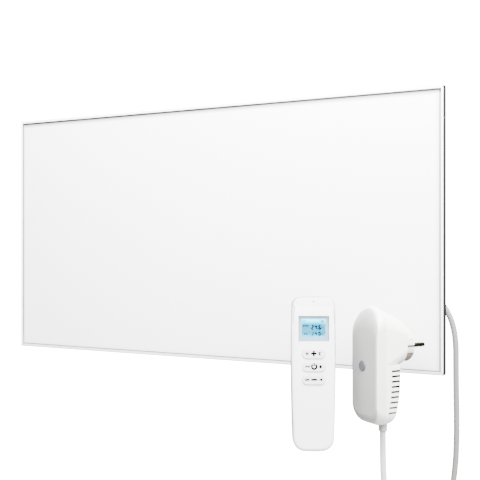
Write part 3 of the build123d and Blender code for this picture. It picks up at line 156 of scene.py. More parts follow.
def closed_tube(rings):
    """Points, quads and triangles of a surface over two parameters, the ring and the place
    round it.

    Each quad joins a step along the rings and a step round them, and a fan about the middle
    of the first and of the last ring closes the ends. The faces are turned outwards."""
    count, around = rings.shape[:2]
    points = np.concatenate([rings.reshape(-1, 3), rings[:1].mean(1), rings[-1:].mean(1)])
    step, turn = np.meshgrid(np.arange(count - 1), np.arange(around), indexing="ij")
    here = (step * around + turn).ravel()
    beside = (step * around + (turn + 1) % around).ravel()
    quads = np.stack([here, beside, beside + around, here + around], axis=1)
    turn = np.arange(around)
    first = np.stack([np.full(around, count * around), (turn + 1) % around, turn], axis=1)
    last = np.stack([np.full(around, count * around + 1), (count - 1) * around + turn,
                     (count - 1) * around + (turn + 1) % around], axis=1)
    fans = np.concatenate([first, last])
    triangles = np.concatenate([quads[:, [0, 1, 2]], quads[:, [0, 2, 3]], fans])
    if signed_volume(points, triangles) < 0:
        quads, fans = quads[:, ::-1], fans[:, ::-1]
    return points, quads, fans


def put_together(surfaces):
    """One surface from several: their points in a row, and each one's faces counted on by
    the points before it."""
    points, quads, triangles = zip(*surfaces)
    before = np.cumsum([0, *map(len, points[:-1])])
    return (np.concatenate(points),
            np.concatenate([faces + count for faces, count in zip(quads, before)]),
            np.concatenate([faces + count for faces, count in zip(triangles, before)]))


def placed(surface, at, turn):
    """A surface in a local frame's millimetres, taken to the row frame's metres."""
    return (row_frame(surface[0], at, turn), *surface[1:])


def filled_object(name, surface, material):
    """A smoothly shaded object at the origin with this surface and material."""
    points, quads, triangles = surface
    mesh = bpy.data.meshes.new(name)
    mesh.from_pydata(points.tolist(), [], quads.tolist() + triangles.tolist())
    mesh.shade_smooth()
    mesh.materials.append(material)
    made = bpy.data.objects.new(name, mesh)
    bpy.context.scene.collection.objects.link(made)
    return made


def piece_on(body, name, surface, material):
    """A piece of the heater with this surface, riding on a CAD body."""
    piece = filled_object(name, surface, material)
    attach(piece, body)
    return piece


def stroke(path, half_widths, front, back, around=16, squareness=0.45):
    """A flat raised line, in local millimetres.

    path holds x and z of its middle line. Every ring is a squared-off ellipse, that is, the
    signed powers of a cosine and a sine: half_widths to each side, and from front to back."""
    path = np.asarray(path, float)
    along = np.gradient(path, axis=0)
    along /= np.linalg.norm(along, axis=1, keepdims=True)
    side = np.stack([along[:, 1], -along[:, 0]], axis=1)
    angle = np.linspace(0, 2 * np.pi, around, endpoint=False)
    across = np.sign(np.cos(angle)) * np.abs(np.cos(angle)) ** squareness
    depth = np.sign(np.sin(angle)) * np.abs(np.sin(angle)) ** squareness
    reach = np.asarray(half_widths, float)[:, None] * across
    flat = path[:, None, :] + side[:, None, :] * reach[..., None]
    y = np.broadcast_to((front + back) / 2 + (back - front) / 2 * depth, reach.shape)
    return closed_tube(np.stack([flat[..., 0], y, flat[..., 1]], axis=-1))


def eased(rings):
    """Places along a stroke from 0 to 1, in half a cosine wave: closest at its ends."""
    return (1 - np.cos(np.linspace(0, np.pi, rings))) / 2


def blunt(s, half_width, power):
    """Half widths along a stroke, as those of a superellipse: blunt ends for a high power,
    pointed ones for a low power, and a fiftieth of the full width at the very ends."""
    return half_width * np.sqrt(np.maximum(1 - np.abs(2 * s - 1) ** power, 0.02 ** 2))


def bar(start, end, half_width, front, back, power=12.0, rings=17):
    """A straight stroke: its middle line is the weighted mean of its two ends."""
    s = eased(rings)
    path = np.outer(1 - s, start) + np.outer(s, end)
    return stroke(path, blunt(s, half_width, power), front, back)


def arc(middle, radius, first, last, half_width, front, back, power=12.0, rings=49):
    """A stroke along part of a circle, from the first angle to the last in degrees."""
    s = eased(rings)
    angle = np.radians(first + (last - first) * s)
    path = np.stack([middle[0] + radius * np.cos(angle), middle[1] + radius * np.sin(angle)], 1)
    return stroke(path, blunt(s, half_width, power), front, back)


def ring(middle, radius, half_width, front, back):
    """A closed stroke: an arc of one whole turn, of even width."""
    return arc(middle, radius, 90, 450, half_width, front, back, 60.0)


def wedge(start, end, half_width, front, back, rings=9):
    """A triangle: a stroke whose half width grows evenly from its start to its end."""
    s = np.linspace(0, 1, rings)
    path = np.outer(1 - s, start) + np.outer(s, end)
    return stroke(path, half_width * (0.04 + 0.96 * s), front, back)


def turned_about(axis_at, along, profile, around=56):
    """A body of revolution: the profile's distances along the axis and from it, carried round
    a full turn. along is the axis as a unit vector, in local millimetres."""
    along = np.asarray(along, float)
    across = np.cross(along, (0.0, 1.0, 0.0))
    across /= np.linalg.norm(across)
    third = np.cross(along, across)
    angle = np.linspace(0, 2 * np.pi, around, endpoint=False)
    spoke = np.outer(np.cos(angle), across) + np.outer(np.sin(angle), third)
    profile = np.asarray(profile, float)
    rings = (np.asarray(axis_at, float) + profile[:, :1, None] * along
             + profile[:, 1:, None] * spoke)
    return closed_tube(rings)


def on_remote(body, name, parts, material):
    """One piece of several parts, whose points are in the remote's frame."""
    surface = placed(put_together(parts), REMOTE_AT, REMOTE_TURN)
    return piece_on(body, name, surface, material)


def smooth_copy(node, name, sharp_above):
    """A copy of a CAD node for smooth shading: its loose triangles merged, its edges sharp
    where they turn by more than an angle, and its normals weighted by face area."""
    source = frame["nodes"][node].data
    points = np.empty(len(source.vertices) * 3)
    source.vertices.foreach_get("co", points)
    points = points.reshape(-1, 3)
    corners = np.empty(len(source.loops), dtype=int)
    source.loops.foreach_get("vertex_index", corners)
    grid = np.round(points / MERGE_WITHIN).astype(np.int64)
    _, first, merged = np.unique(grid, axis=0, return_index=True, return_inverse=True)
    faces = merged.reshape(-1)[corners].reshape(-1, 3)
    whole = (faces != np.roll(faces, 1, axis=1)).all(axis=1)
    surface = points[first], np.empty((0, 4), dtype=int), faces[whole]
    piece = piece_on(frame["nodes"][node]["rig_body"], name, surface, source.materials[0])
    piece.data.set_sharp_from_angle(angle=sharp_above)
    weighted = piece.modifiers.new("weighted_normals", "WEIGHTED_NORMAL")
    weighted.keep_sharp = True
    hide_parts(node)
    return piece


# ---------------------------------------------------------------- shader trees

class Wiring:
    """Puts shader nodes into one tree and joins their sockets."""

    def __init__(self, tree):
        self.tree = tree

    def fill(self, sockets, values):
        """Joins each named input to the socket given for it, or sets it to the value given."""
        for name, value in values.items():
            if isinstance(value, bpy.types.NodeSocket):
                self.tree.links.new(value, sockets[name])
            else:
                sockets[name].default_value = value

    def put(self, kind, inputs=None, **settings):
        """A new node with these inputs and settings."""
        node = self.tree.nodes.new(kind)
        for name, value in settings.items():
            setattr(node, name, value)
        self.fill(node.inputs, inputs or {})
        return node

    def axes(self, vector):
        """The X, Y and Z of a vector."""
        return self.put("ShaderNodeSeparateXYZ", {0: vector}).outputs

    def math(self, operation, a, b=0.0):
        """One step of arithmetic on one or two values."""
        return self.put("ShaderNodeMath", {0: a, 1: b}, operation=operation).outputs[0]

    def combined(self, operation, first, *others):
        """Several values taken together two by two."""
        for other in others:
            first = self.math(operation, first, other)
        return first

    def product(self, *values):
        """All the values multiplied."""
        return self.combined("MULTIPLY", *values)

    def largest(self, *values):
        """The largest of the values."""
        return self.combined("MAXIMUM", *values)

    def off(self, value, middle):
        """How far a value is from a middle, to either side."""
        return self.math("ABSOLUTE", self.math("SUBTRACT", value, middle))

    def span(self, value, low, high, to_low, to_high, smooth=False):
        """value taken from low..high to to_low..to_high and held there."""
        kind = "SMOOTHSTEP" if smooth else "LINEAR"
        node = self.put("ShaderNodeMapRange", {0: value, 1: low, 2: high, 3: to_low,
                                               4: to_high}, interpolation_type=kind)
        return node.outputs[0]

    def band(self, value, low, high, soft, smooth=False):
        """1 from low to high and 0 beyond, with soft the width of the change at each end."""
        return self.product(self.span(value, low, low + soft, 0.0, 1.0, smooth),
                            self.span(value, high, high + soft, 1.0, 0.0, smooth))

    def noise(self, coordinates, scale, detail=2.0, roughness=0.5):
        """Noise about 0.5, with scale its number of cells in a metre."""
        return self.put("ShaderNodeTexNoise", {"Vector": coordinates, "Scale": scale,
                                               "Detail": detail,
                                               "Roughness": roughness}).outputs["Fac"]

    def mix(self, share, first, second):
        """The first colour, with a share of the second in its place."""
        node = self.put("ShaderNodeMix", data_type="RGBA")
        self.fill({s.identifier: s for s in node.inputs},
                  {"Factor_Float": share, "A_Color": first, "B_Color": second})
        return next(s for s in node.outputs if s.identifier == "Result_Color")

    def scaled(self, colour, factor):
        """A colour times a number."""
        if not isinstance(colour, bpy.types.NodeSocket):
            colour = tuple(colour)[:3]
        node = self.put("ShaderNodeVectorMath", {0: colour, "Scale": factor},
                        operation="SCALE")
        return node.outputs[0]


def opaque(colour):
    """A colour with a full alpha."""
    return (colour[0], colour[1], colour[2], 1.0)


def effect_group(name, inputs, outputs):
    """A new shader node group: its tree's wiring, the values given to it and the sockets for
    what it puts out."""
    group = bpy.data.node_groups.new(name, "ShaderNodeTree")
    for label, kind, value in inputs:
        socket = group.interface.new_socket(name=label, in_out="INPUT", socket_type=kind)
        if value is not None:
            socket.default_value = value
    for label, kind in outputs:
        group.interface.new_socket(name=label, in_out="OUTPUT", socket_type=kind)
    w = Wiring(group)
    return w, w.put("NodeGroupInput").outputs, w.put("NodeGroupOutput").inputs


SKIN_INPUTS = (
    ("Coordinates", "NodeSocketVector", None),
    ("Colour", "NodeSocketColor", (0.8, 0.8, 0.8, 1.0)),
    ("Roughness", "NodeSocketFloat", 0.5),
    ("Grain", "NodeSocketFloat", 1800.0),
    ("Shade", "NodeSocketFloat", 0.04),
)
SKIN_OUTPUTS = (
    ("Colour", "NodeSocketColor"),
    ("Roughness", "NodeSocketFloat"),
    ("Height", "NodeSocketFloat"),
)
DUST_INPUTS = (*SKIN_INPUTS[:2], ("Amount", "NodeSocketFloat", 0.1))
DUST_COLOUR = (0.60, 0.58, 0.54)


def moulded_skin():
    """Moulded plastic: an even fine grain from the mould, and colour and gloss that drift
    slowly over the piece, as flow and handling leave them."""
    w, given, out = effect_group("Moulded skin", SKIN_INPUTS, SKIN_OUTPUTS)
    fine = w.noise(given["Coordinates"], given["Grain"], 2.0, 0.6)
    slow = w.noise(given["Coordinates"], 21.0, 3.0, 0.55)
    least = w.math("SUBTRACT", 1.0, given["Shade"])
    gloss = w.combined("ADD", given["Roughness"], w.span(slow, 0.3, 0.7, -0.05, 0.06),
                       w.span(fine, 0.3, 0.7, -0.02, 0.02))
    w.fill(out, {"Colour": w.scaled(given["Colour"], w.span(slow, 0.34, 0.66, least, 1.0)),
                 "Roughness": gloss, "Height": fine})
    return w.tree


def orange_peel():
    """Baked powder coat: soft round ripples a millimetre or two wide with a finer ripple on
    them, and a film that is a little thicker and duller in slow patches."""
    w, given, out = effect_group("Orange peel", SKIN_INPUTS, SKIN_OUTPUTS)
    ripple = w.noise(given["Coordinates"], given["Grain"], 1.0, 0.4)
    fine = w.noise(given["Coordinates"], w.product(given["Grain"], 3.1), 1.0, 0.5)
    slow = w.noise(given["Coordinates"], 6.0, 2.0, 0.5)
    least = w.math("SUBTRACT", 1.0, given["Shade"])
    w.fill(out, {"Colour": w.scaled(given["Colour"], w.span(slow, 0.34, 0.66, least, 1.0)),
                 "Roughness": w.math("ADD", given["Roughness"],
                                     w.span(slow, 0.3, 0.7, -0.04, 0.04)),
                 "Height": w.math("ADD", ripple, w.product(fine, 0.35))})
    return w.tree


def drawn_metal():
    """Rolled or drawn metal: streaks, which are noise on coordinates already stretched along
    the rolling, that vary its tone and its gloss, and cloudy stains of oxide over them."""
    w, given, out = effect_group("Drawn metal", SKIN_INPUTS, SKIN_OUTPUTS)
    streak = w.noise(given["Coordinates"], given["Grain"], 3.0, 0.6)
    cloud = w.noise(given["Coordinates"], 30.0, 4.0, 0.6)
    least = w.math("SUBTRACT", 1.0, given["Shade"])
    tone = w.product(w.span(streak, 0.3, 0.7, least, 1.0),
                     w.span(cloud, 0.35, 0.65, w.math("ADD", 0.04, least), 1.04))
    gloss = w.combined("ADD", given["Roughness"], w.span(streak, 0.3, 0.7, 0.06, -0.06),
                       w.span(cloud, 0.35, 0.65, 0.05, -0.05))
    w.fill(out, {"Colour": w.scaled(given["Colour"], tone), "Roughness": gloss,
                 "Height": streak})
    return w.tree


def settled_dust():
    """A thin veil of dust: thickest on faces that look up, broken by patches of noise. It
    gives the colour with the dust on it."""
    w, given, out = effect_group("Settled dust", DUST_INPUTS, SKIN_OUTPUTS[:1])
    upward = w.axes(w.put("ShaderNodeNewGeometry").outputs["Normal"])["Z"]
    patches = w.noise(given["Coordinates"], 90.0, 5.0, 0.65)
    share = w.product(w.span(upward, 0.3, 0.95, 0.0, 1.0, True),
                      w.span(patches, 0.35, 0.7, 0.4, 1.0), given["Amount"])
    w.fill(out, {"Colour": w.mix(share, given["Colour"], opaque(DUST_COLOUR))})
    return w.tree


EFFECTS = {"Moulded skin": moulded_skin, "Orange peel": orange_peel,
           "Drawn metal": drawn_metal, "Settled dust": settled_dust}


def effect(name):
    """An effect's node group, built at its first use."""
    return bpy.data.node_groups.get(name) or EFFECTS[name]()


class Finish:
    """One material: a Principled BSDF whose colour, roughness and normal an effect drives."""

    def __init__(self, name):
        self.material = bpy.data.materials.new(name)
        self.material.use_nodes = True
        tree = self.material.node_tree
        tree.nodes.clear()
        self.w = Wiring(tree)
        self.place = self.w.put("ShaderNodeTexCoord").outputs["Object"]
        self.shader = self.w.put("ShaderNodeBsdfPrincipled")
        self.out = self.w.put("ShaderNodeOutputMaterial",
                              {"Surface": self.shader.outputs[0]})

    def axes(self):
        """The object coordinates one by one."""
        return self.w.axes(self.place)

    def mapped(self, scale=(1.0, 1.0, 1.0), turn=0.0, shift=(0.0, 0.0, 0.0)):
        """Object coordinates scaled, turned about the upright and then moved."""
        return self.w.put("ShaderNodeMapping",
                          {"Vector": self.place, "Scale": scale,
                           "Rotation": (0.0, 0.0, math.radians(turn)),
                           "Location": shift}).outputs[0]

    def local(self, at, turn):
        """Metres in a local frame: x to the right, y into the piece, z up."""
        origin = -row_frame((0.0, 0.0, 0.0), at, 0.0)
        angle = math.radians(-turn)
        shift = (origin[0] * math.cos(angle) - origin[1] * math.sin(angle),
                 origin[0] * math.sin(angle) + origin[1] * math.cos(angle), origin[2])
        return self.w.axes(self.mapped(turn=-turn, shift=shift))

    def facing(self, turn):
        """How squarely the surface faces a local frame's front: the cosine of the angle
        between its normal and the front direction."""
        angle = math.radians(turn)
        normal = self.w.put("ShaderNodeNewGeometry").outputs["Normal"]
        node = self.w.put("ShaderNodeVectorMath",
                          {0: normal, 1: (math.sin(angle), -math.cos(angle), 0.0)},
                          operation="DOT_PRODUCT")
        return node.outputs["Value"]

    def skin(self, kind, colour, roughness, grain, shade, coordinates=None, dust=0.0):
        """Joins an effect to the shader and gives the effect's Height output."""
        w = self.w
        node = w.put("ShaderNodeGroup", node_tree=effect(kind))
        w.fill(node.inputs, {"Coordinates": coordinates or self.place, "Colour": colour,
                             "Roughness": roughness, "Grain": grain, "Shade": shade})
        shown = node.outputs["Colour"]
        if dust:
            veil = w.put("ShaderNodeGroup", node_tree=effect("Settled dust"))
            w.fill(veil.inputs, {"Coordinates": self.place, "Colour": shown, "Amount": dust})
            shown = veil.outputs["Colour"]
        self.set(Base_Color=shown, Roughness=node.outputs["Roughness"])
        return node.outputs["Height"]

    def relief(self, height, depth):
        """Bump from a height, with its depth in metres."""
        bump = self.w.put("ShaderNodeBump", {"Height": height, "Distance": depth,
                                             "Strength": 1.0})
        self.set(Normal=bump.outputs[0])

    def coat(self, kind, colour, roughness, grain, shade, depth, **more):
        """An effect with its own Height output as the relief."""
        self.relief(self.skin(kind, colour, roughness, grain, shade, **more), depth)

    def set(self, **values):
        """Sockets and constants for the shader, such as Metallic=1.0 or Coat_Weight=0.2."""
        self.w.fill(self.shader.inputs, {n.replace("_", " "): v for n, v in values.items()})
        return self.material


def moulded(name, colour, roughness=0.42, grain=1900.0, depth=0.000012, shade=0.03,
            dust=0.04, **constants):
    """A moulded plastic of one colour."""
    finish = Finish(name)
    finish.coat("Moulded skin", opaque(colour), roughness, grain, shade, depth, dust=dust)
    return finish.set(**constants)


def rolled(name, colour, roughness=0.34, stretch=(0.04, 1.0, 1.0), grain=900.0, shade=0.12,
           depth=0.000006):
    """A metal whose streaks run along the axis with the smallest factor in stretch."""
    finish = Finish(name)
    finish.coat("Drawn metal", opaque(colour), roughness, grain, shade, depth,
                coordinates=finish.mapped(stretch))
    return finish.set(Metallic=1.0)


def dress(material, *names):
    """Gives CAD nodes a material."""
    for name in names:
        for slot in frame["nodes"][name].material_slots:
            slot.material = material


# ---------------------------------------------------------------- special finishes

def groove_painted_shade(w, place, settings):
    """Painted shade for the shadow gap: darkest along the top and the left, where the least
    light gets into it, and lighter on the right and below."""
    lit = w.largest(w.span(place["X"], 0.27, 0.29, 0.0, 1.0, True),
                    w.span(place["Z"], -0.13, -0.15, 0.0, 1.0, True),
                    w.span(place["X"], -0.294, -0.295, 0.0, 0.35))
    lit = w.product(lit, w.span(place["Z"], 0.150, 0.154, 1.0, 0.0, True))
    return w.mix(lit, opaque(settings.groove_shadow_colour), opaque(settings.lit_groove_shadow_colour))


def plate_finish(settings):
    """The radiating plate: powder coat on its face, painted shade that greys it against the
    frame's lips, and the floor of the shadow gap, where the surface lies behind the face,
    painted dark as shade."""
    finish = Finish("plate_coat")
    w, place = finish.w, finish.axes()
    # painted shade: the gap's floor behind the plate's face, and the plate under the top lip,
    # take the gap's painted shade
    sunk = w.largest(
        w.span(place["Y"], PLATE_FACE_Y + 0.0001, PLATE_FACE_Y + 0.0003, 0.0, 1.0),
        w.span(place["Z"], 0.1543, 0.1545, 0.0, 1.0))
    # painted shade: the plate greyed along its edges next to the lips, most under the top lip
    veil = w.largest(w.span(place["Z"], 0.149, 0.1545, 0.0, 0.95),
                     *(w.span(place[axis], begin, full, 0.0, most, True)
                       for axis, begin, full, most in PAINTED_SHADE_BANDS))
    colour = w.mix(veil, opaque(settings.plate_colour), opaque(PAINTED_SHADE_COLOUR))
    colour = w.mix(sunk, colour, groove_painted_shade(w, place, settings))
    finish.coat("Orange peel", colour, 0.4, 520.0, 0.015, 0.00002)
    return finish.set(Coat_Weight=0.1, Coat_Roughness=0.3)


def bar_finish(name, settings, **constants):
    """Frame bars: powder coat, with painted shade that makes the right-hand bar's outer face
    dark and the lower lip dimmer, and the shadow gap's painted shade on the lips' inner edges."""
    finish = Finish(name)
    w, place = finish.w, finish.axes()
    # painted shade: the right-hand bar's outer face, turned from the light, painted nearly black
    outer = w.span(place["X"], 0.2992, 0.2995, 0.0, 1.0, True)
    behind = w.span(place["Y"], LIP_BACK_Y + 0.0001, LIP_BACK_Y + 0.0002, 0.0, 1.0)
    # painted shade: the lower lip dimmed, and the bar's underside darker still, as light falls
    # from above
    low = w.product(w.span(place["Z"], -0.1558, -0.1562, 1.0, 0.72),
                    w.span(place["Z"], -0.1589, -0.1592, 1.0, 0.3))
    # painted shade: the lips' inner edges, in front of their backs, take the gap's painted shade
    inside = w.product(w.math("SUBTRACT", 1.0, behind),
                       *(w.span(w.product(place[axis], side), edge, edge + 0.0003, 1.0, 0.0)
                         for axis, side, edge in GAP_EDGES))
    colour = w.mix(outer, opaque(settings.bar_colour), opaque(settings.right_side_shade_colour))
    colour = w.scaled(colour, w.largest(low, behind))
    colour = w.mix(inside, colour, groove_painted_shade(w, place, settings))
    finish.coat("Orange peel", colour, w.span(outer, 0.0, 1.0, 0.36, 0.8), 520.0, 0.015,
                0.00002, dust=0.05)
    return finish.set(**constants)


def heating_film_finish(colour):
    """Printed heating film: dark carbon bands with bare laminate between them, a square wave
    of x softened at its edges."""
    finish = Finish("heating_film_print")
    w = finish.w
    wave = w.math("SINE", w.product(finish.axes()["X"], 2 * math.pi / FILM_PITCH))
    band = w.span(wave, -0.35, -0.15, 0.0, 1.0, True)
    shown = w.mix(band, (0.42, 0.38, 0.30, 1.0), opaque(colour))
    finish.coat("Moulded skin", shown, 0.35, 700.0, 0.05, 0.00001)
    return finish.set(Coat_Weight=0.4, Coat_Roughness=0.15)


def shell_finish(settings):
    """The receiver's rear shell: moulded plastic, with painted shadow on the walls of its row of
    vents. The vents repeat by their pitch over the row's height, and begin less deep by the
    back's bow, which grows with the square of the way down."""
    finish = Finish("shell_plastic")
    w, place = finish.w, finish.local(RECEIVER_AT, RECEIVER_TURN)
    step = w.math("DIVIDE", w.math("SUBTRACT", place["Z"], VENT_TOP * MM), VENT_PITCH * MM)
    apart = w.off(step, w.math("ROUND", step))
    share = VENT_HEIGHT / 2 / VENT_PITCH
    below = w.largest(w.math("SUBTRACT", BOW_FROM * MM, place["Z"]), 0.0)
    bow = w.math("DIVIDE", w.product(below, below), 2 * BOW_RADIUS * MM)
    # painted shadow in the vents' walls and round their openings, a little weaker in the lowest
    # vents
    dark = w.product(
        w.span(apart, share + 0.05, share + 0.09, 1.0, 0.0),
        w.band(step, 0.4 - VENTS, 0.4, 0.1),
        w.band(w.math("ADD", place["Y"], bow), (VENT_FROM - 0.8) * MM,
               (VENT_FROM + VENT_LENGTH + 0.4) * MM, 0.4 * MM),
        w.span(step, 1.0 - VENTS, -3.0, 0.72, 1.0))
    colour = w.mix(dark, opaque(settings.shell_colour), (0.02, 0.018, 0.016, 1.0))
    finish.coat("Moulded skin", colour, 0.34, 2100.0, 0.03, 0.000012, dust=0.04)
    return finish.set(Coat_Weight=0.1)


def cover_finish(settings):
    """The receiver's front cover: painted shade makes its flat face greyer than the rim that
    turns back from it, told apart by where the surface faces."""
    finish = Finish("cover_plastic")
    # painted shade: the forward face greyed; the rim, turned towards the light, keeps the
    # lighter colour
    rim = finish.w.span(finish.facing(RECEIVER_TURN), 0.45, 0.85, 1.0, 0.0, True)
    colour = finish.w.mix(rim, opaque(settings.cover_shade_colour), opaque(settings.rim_colour))
    finish.coat("Moulded skin", colour, 0.34, 2100.0, 0.03, 0.000012, dust=0.03)
    return finish.set(Coat_Weight=0.1)


def core_finish(settings):
    """The plug's core: matte plastic, with painted shade in the notch at the pins' height."""
    finish = Finish("plug_plastic")
    w = finish.w
    off = w.off(finish.local(RECEIVER_AT, RECEIVER_TURN)["Z"], PIN_HEIGHT * MM)
    # painted shade in the notch
    notch = w.span(off, 1.1 * MM, 1.25 * MM, 1.0, 0.0)
    colour = w.mix(notch, opaque(settings.core_colour), (0.12, 0.12, 0.115, 1.0))
    finish.coat("Moulded skin", colour, 0.45, 1700.0, 0.03, 0.00002)
    return finish.set(Coat_Weight=0.05)


def remote_finish(settings):
    """The remote's casing: painted shade greys its sides and its head above the slope, and a
    thin painted shadow line runs where the window's opening begins."""
    finish = Finish("remote_plastic")
    w, place = finish.w, finish.local(REMOTE_AT, REMOTE_TURN)
    # painted shade: greyer where the surface turns away from the front, and above the slope of
    # the head
    tone = w.product(w.span(finish.facing(REMOTE_TURN), 0.3, 0.88, 0.35, 1.0, True),
                     w.span(place["Z"], 68 * MM, 73 * MM, 1.0, 0.7, True))
    # painted shadow: a thin dark line just outside the window's opening
    line = 0.3 * MM
    window = w.product(*(
        w.span(w.off(place[axis], middle * MM), size / 2 * MM + line,
               size / 2 * MM + 1.4 * line, 1.0, 0.0)
        for axis, middle, size in (("X", 0.0, WINDOW_WIDE), ("Z", WINDOW_Z, WINDOW_HIGH))))
    colour = w.mix(window, w.scaled(opaque(settings.casing_colour), tone),
                   (0.13, 0.14, 0.16, 1.0))
    finish.coat("Moulded skin", colour, 0.36, 2100.0, 0.03, 0.000012, dust=0.03)
    return finish.set(Coat_Weight=0.1)


def clip_finish(settings):
    """Earth clips of the plug: nickelled springs, with painted shade darkening them towards the
    bottom and a painted highlight, near white, on the upper clip.
    """
    finish = Finish("clip_nickel")
    w = finish.w
    z = finish.local(RECEIVER_AT, RECEIVER_TURN)["Z"]
    # painted shade darkens the clips towards the bottom; a painted highlight whitens the upper
    # clip, which is less metallic there
    low = w.span(z, 0.002, 0.013, 0.0, 1.0, True)
    upper = w.span(z, 0.015, 0.020, 0.0, 1.0, True)
    colour = w.mix(low, opaque(settings.clip_shadow_colour), opaque(settings.clip_colour))
    colour = w.mix(upper, colour, (0.80, 0.79, 0.76, 1.0))
    finish.coat("Drawn metal", colour, 0.32, 700.0, 0.15, 0.000006,
                coordinates=finish.mapped((1.0, 1.0, 0.1)))
    return finish.set(Metallic=w.span(upper, 0.0, 1.0, 1.0, 0.2))


def fibre_board_finish(colour):
    """Pressed mineral fibre: short strands from noise stretched two ways, and darker pits."""
    finish = Finish("fibre_board")
    w = finish.w
    first = w.noise(finish.mapped((0.15, 1.0, 1.0), 20.0), 1400.0, 4.0, 0.7)
    second = w.noise(finish.mapped((1.0, 1.0, 0.15), -30.0), 1400.0, 4.0, 0.7)
    strands = w.largest(first, second)
    tone = w.span(strands, 0.4, 0.75, 0.72, 1.06)
    finish.skin("Moulded skin", w.scaled(opaque(colour), tone), 0.9, 300.0, 0.08)
    finish.relief(strands, 0.0003)
    return finish.set(Sheen_Weight=0.3)


def board_finish(name, colour):
    """Circuit board: a dark solder mask with lighter runs of track under it, where two bands
    of Voronoi cell edges lie, and small round tinned pads."""
    finish = Finish(name)
    w = finish.w
    edge = w.put("ShaderNodeTexVoronoi", {"Vector": finish.place, "Scale": 190.0},
                 feature="DISTANCE_TO_EDGE").outputs["Distance"]
    track = w.span(edge, 0.05, 0.09, 1.0, 0.0, True)
    dot = w.put("ShaderNodeTexVoronoi", {"Vector": finish.place, "Scale": 240.0},
                feature="F1").outputs["Distance"]
    pad = w.span(dot, 0.16, 0.22, 1.0, 0.0, True)
    lit = (colour[0] * 2.2, colour[1] * 1.7, colour[2] * 1.8)
    shown = w.mix(track, opaque(colour), opaque(lit))
    shown = w.mix(pad, shown, (0.62, 0.61, 0.58, 1.0))
    finish.skin("Moulded skin", shown, 0.32, 900.0, 0.05)
    finish.relief(w.math("ADD", track, pad), 0.00004)
    return finish.set(Coat_Weight=0.4, Coat_Roughness=0.2)


def cell_finish(colour):
    """Cells: a printed sleeve with a lighter band at one end and bare nickelled ends."""
    finish = Finish("cell_sleeve")
    w = finish.w
    z = finish.local(REMOTE_AT, REMOTE_TURN)["Z"]
    low, high = (corner[2] - REMOTE_AT[2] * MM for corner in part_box("batteries"))
    band = w.span(z, high - 0.0125, high - 0.0115, 0.0, 1.0, True)
    ends = w.largest(w.span(z, low + 0.0008, low + 0.0011, 1.0, 0.0),
                     w.span(z, high - 0.0022, high - 0.0019, 0.0, 1.0))
    shown = w.mix(band, opaque(colour), (0.62, 0.60, 0.56, 1.0))
    shown = w.mix(ends, shown, (0.72, 0.70, 0.66, 1.0))
    finish.coat("Moulded skin", shown, 0.3, 600.0, 0.05, 0.00001)
    return finish.set(Metallic=ends, Coat_Weight=0.5, Coat_Roughness=0.1)


def display_finish(settings):
    """Display glass: a grey rim round a lit field that is darkest across its middle."""
    finish = Finish("display_field")
    w, place = finish.w, finish.local(REMOTE_AT, REMOTE_TURN)
    left, right, bottom, top = (
        edge * MM for edge in (settings.field_left, settings.field_right,
                               settings.field_bottom, settings.field_top))
    soft = 0.6 * MM
    inside = w.product(w.band(place["X"], left - soft, right - soft, 2 * soft, True),
                       w.band(place["Z"], bottom - soft, top - soft, 2 * soft, True))
    bright = w.largest(w.span(place["Z"], top - 0.0062, top, 0.0, 1.0, True),
                       w.span(place["Z"], bottom, bottom + 0.0045, 0.3, 0.0, True))
    cloud = w.noise(finish.place, 160.0, 2.0, 0.5)
    lit = w.mix(bright, opaque(settings.field_colour), opaque(settings.field_top_colour))
    lit = w.scaled(lit, w.span(cloud, 0.3, 0.7, 0.9, 1.1))
    shown = w.mix(inside, opaque(settings.rim_colour), lit)
    finish.skin("Moulded skin", shown, 0.3, 800.0, 0.01)
    return finish.set(Emission_Color=w.scaled(shown, settings.glow), Emission_Strength=1.0)


def lens_finish():
    """Clear window: smooth dielectric, which lets light through to the display unbent."""
    finish = Finish("display_window")
    w = finish.w
    haze = w.noise(finish.place, 260.0, 3.0, 0.5)
    shadow = w.put("ShaderNodeLightPath").outputs["Is Shadow Ray"]
    clear = w.put("ShaderNodeBsdfTransparent", {"Color": (0.95, 0.98, 1.0, 1.0)})
    both = w.put("ShaderNodeMixShader", {0: shadow, 1: finish.shader.outputs[0],
                                         2: clear.outputs[0]})
    w.fill(finish.out.inputs, {"Surface": both.outputs[0]})
    return finish.set(Base_Color=(0.96, 0.99, 1.0, 1.0), Transmission_Weight=1.0, IOR=1.25,
                      Roughness=w.span(haze, 0.3, 0.7, 0.02, 0.06))


def finish_print(name, colour):
    """Printed ink: the moulded skin's slow drift of tone, with a dull surface."""
    return moulded(name, colour, roughness=0.55, grain=1600.0, depth=0.000008, shade=0.15,
                   dust=0.0, Specular_IOR_Level=0.0)


# ---------------------------------------------------------------- settings

def length_property(name, description, default):
    """A length in millimetres that a user can change."""
    return FloatProperty(name=name, description=description + ", in millimetres",
                         default=default)


def colour_property(name, description, default):
    """A colour that a user can change, in linear red, green and blue."""
    return FloatVectorProperty(name=name, description=description, default=default,
                               subtype="COLOR", size=3, min=0.0, max=1.0)


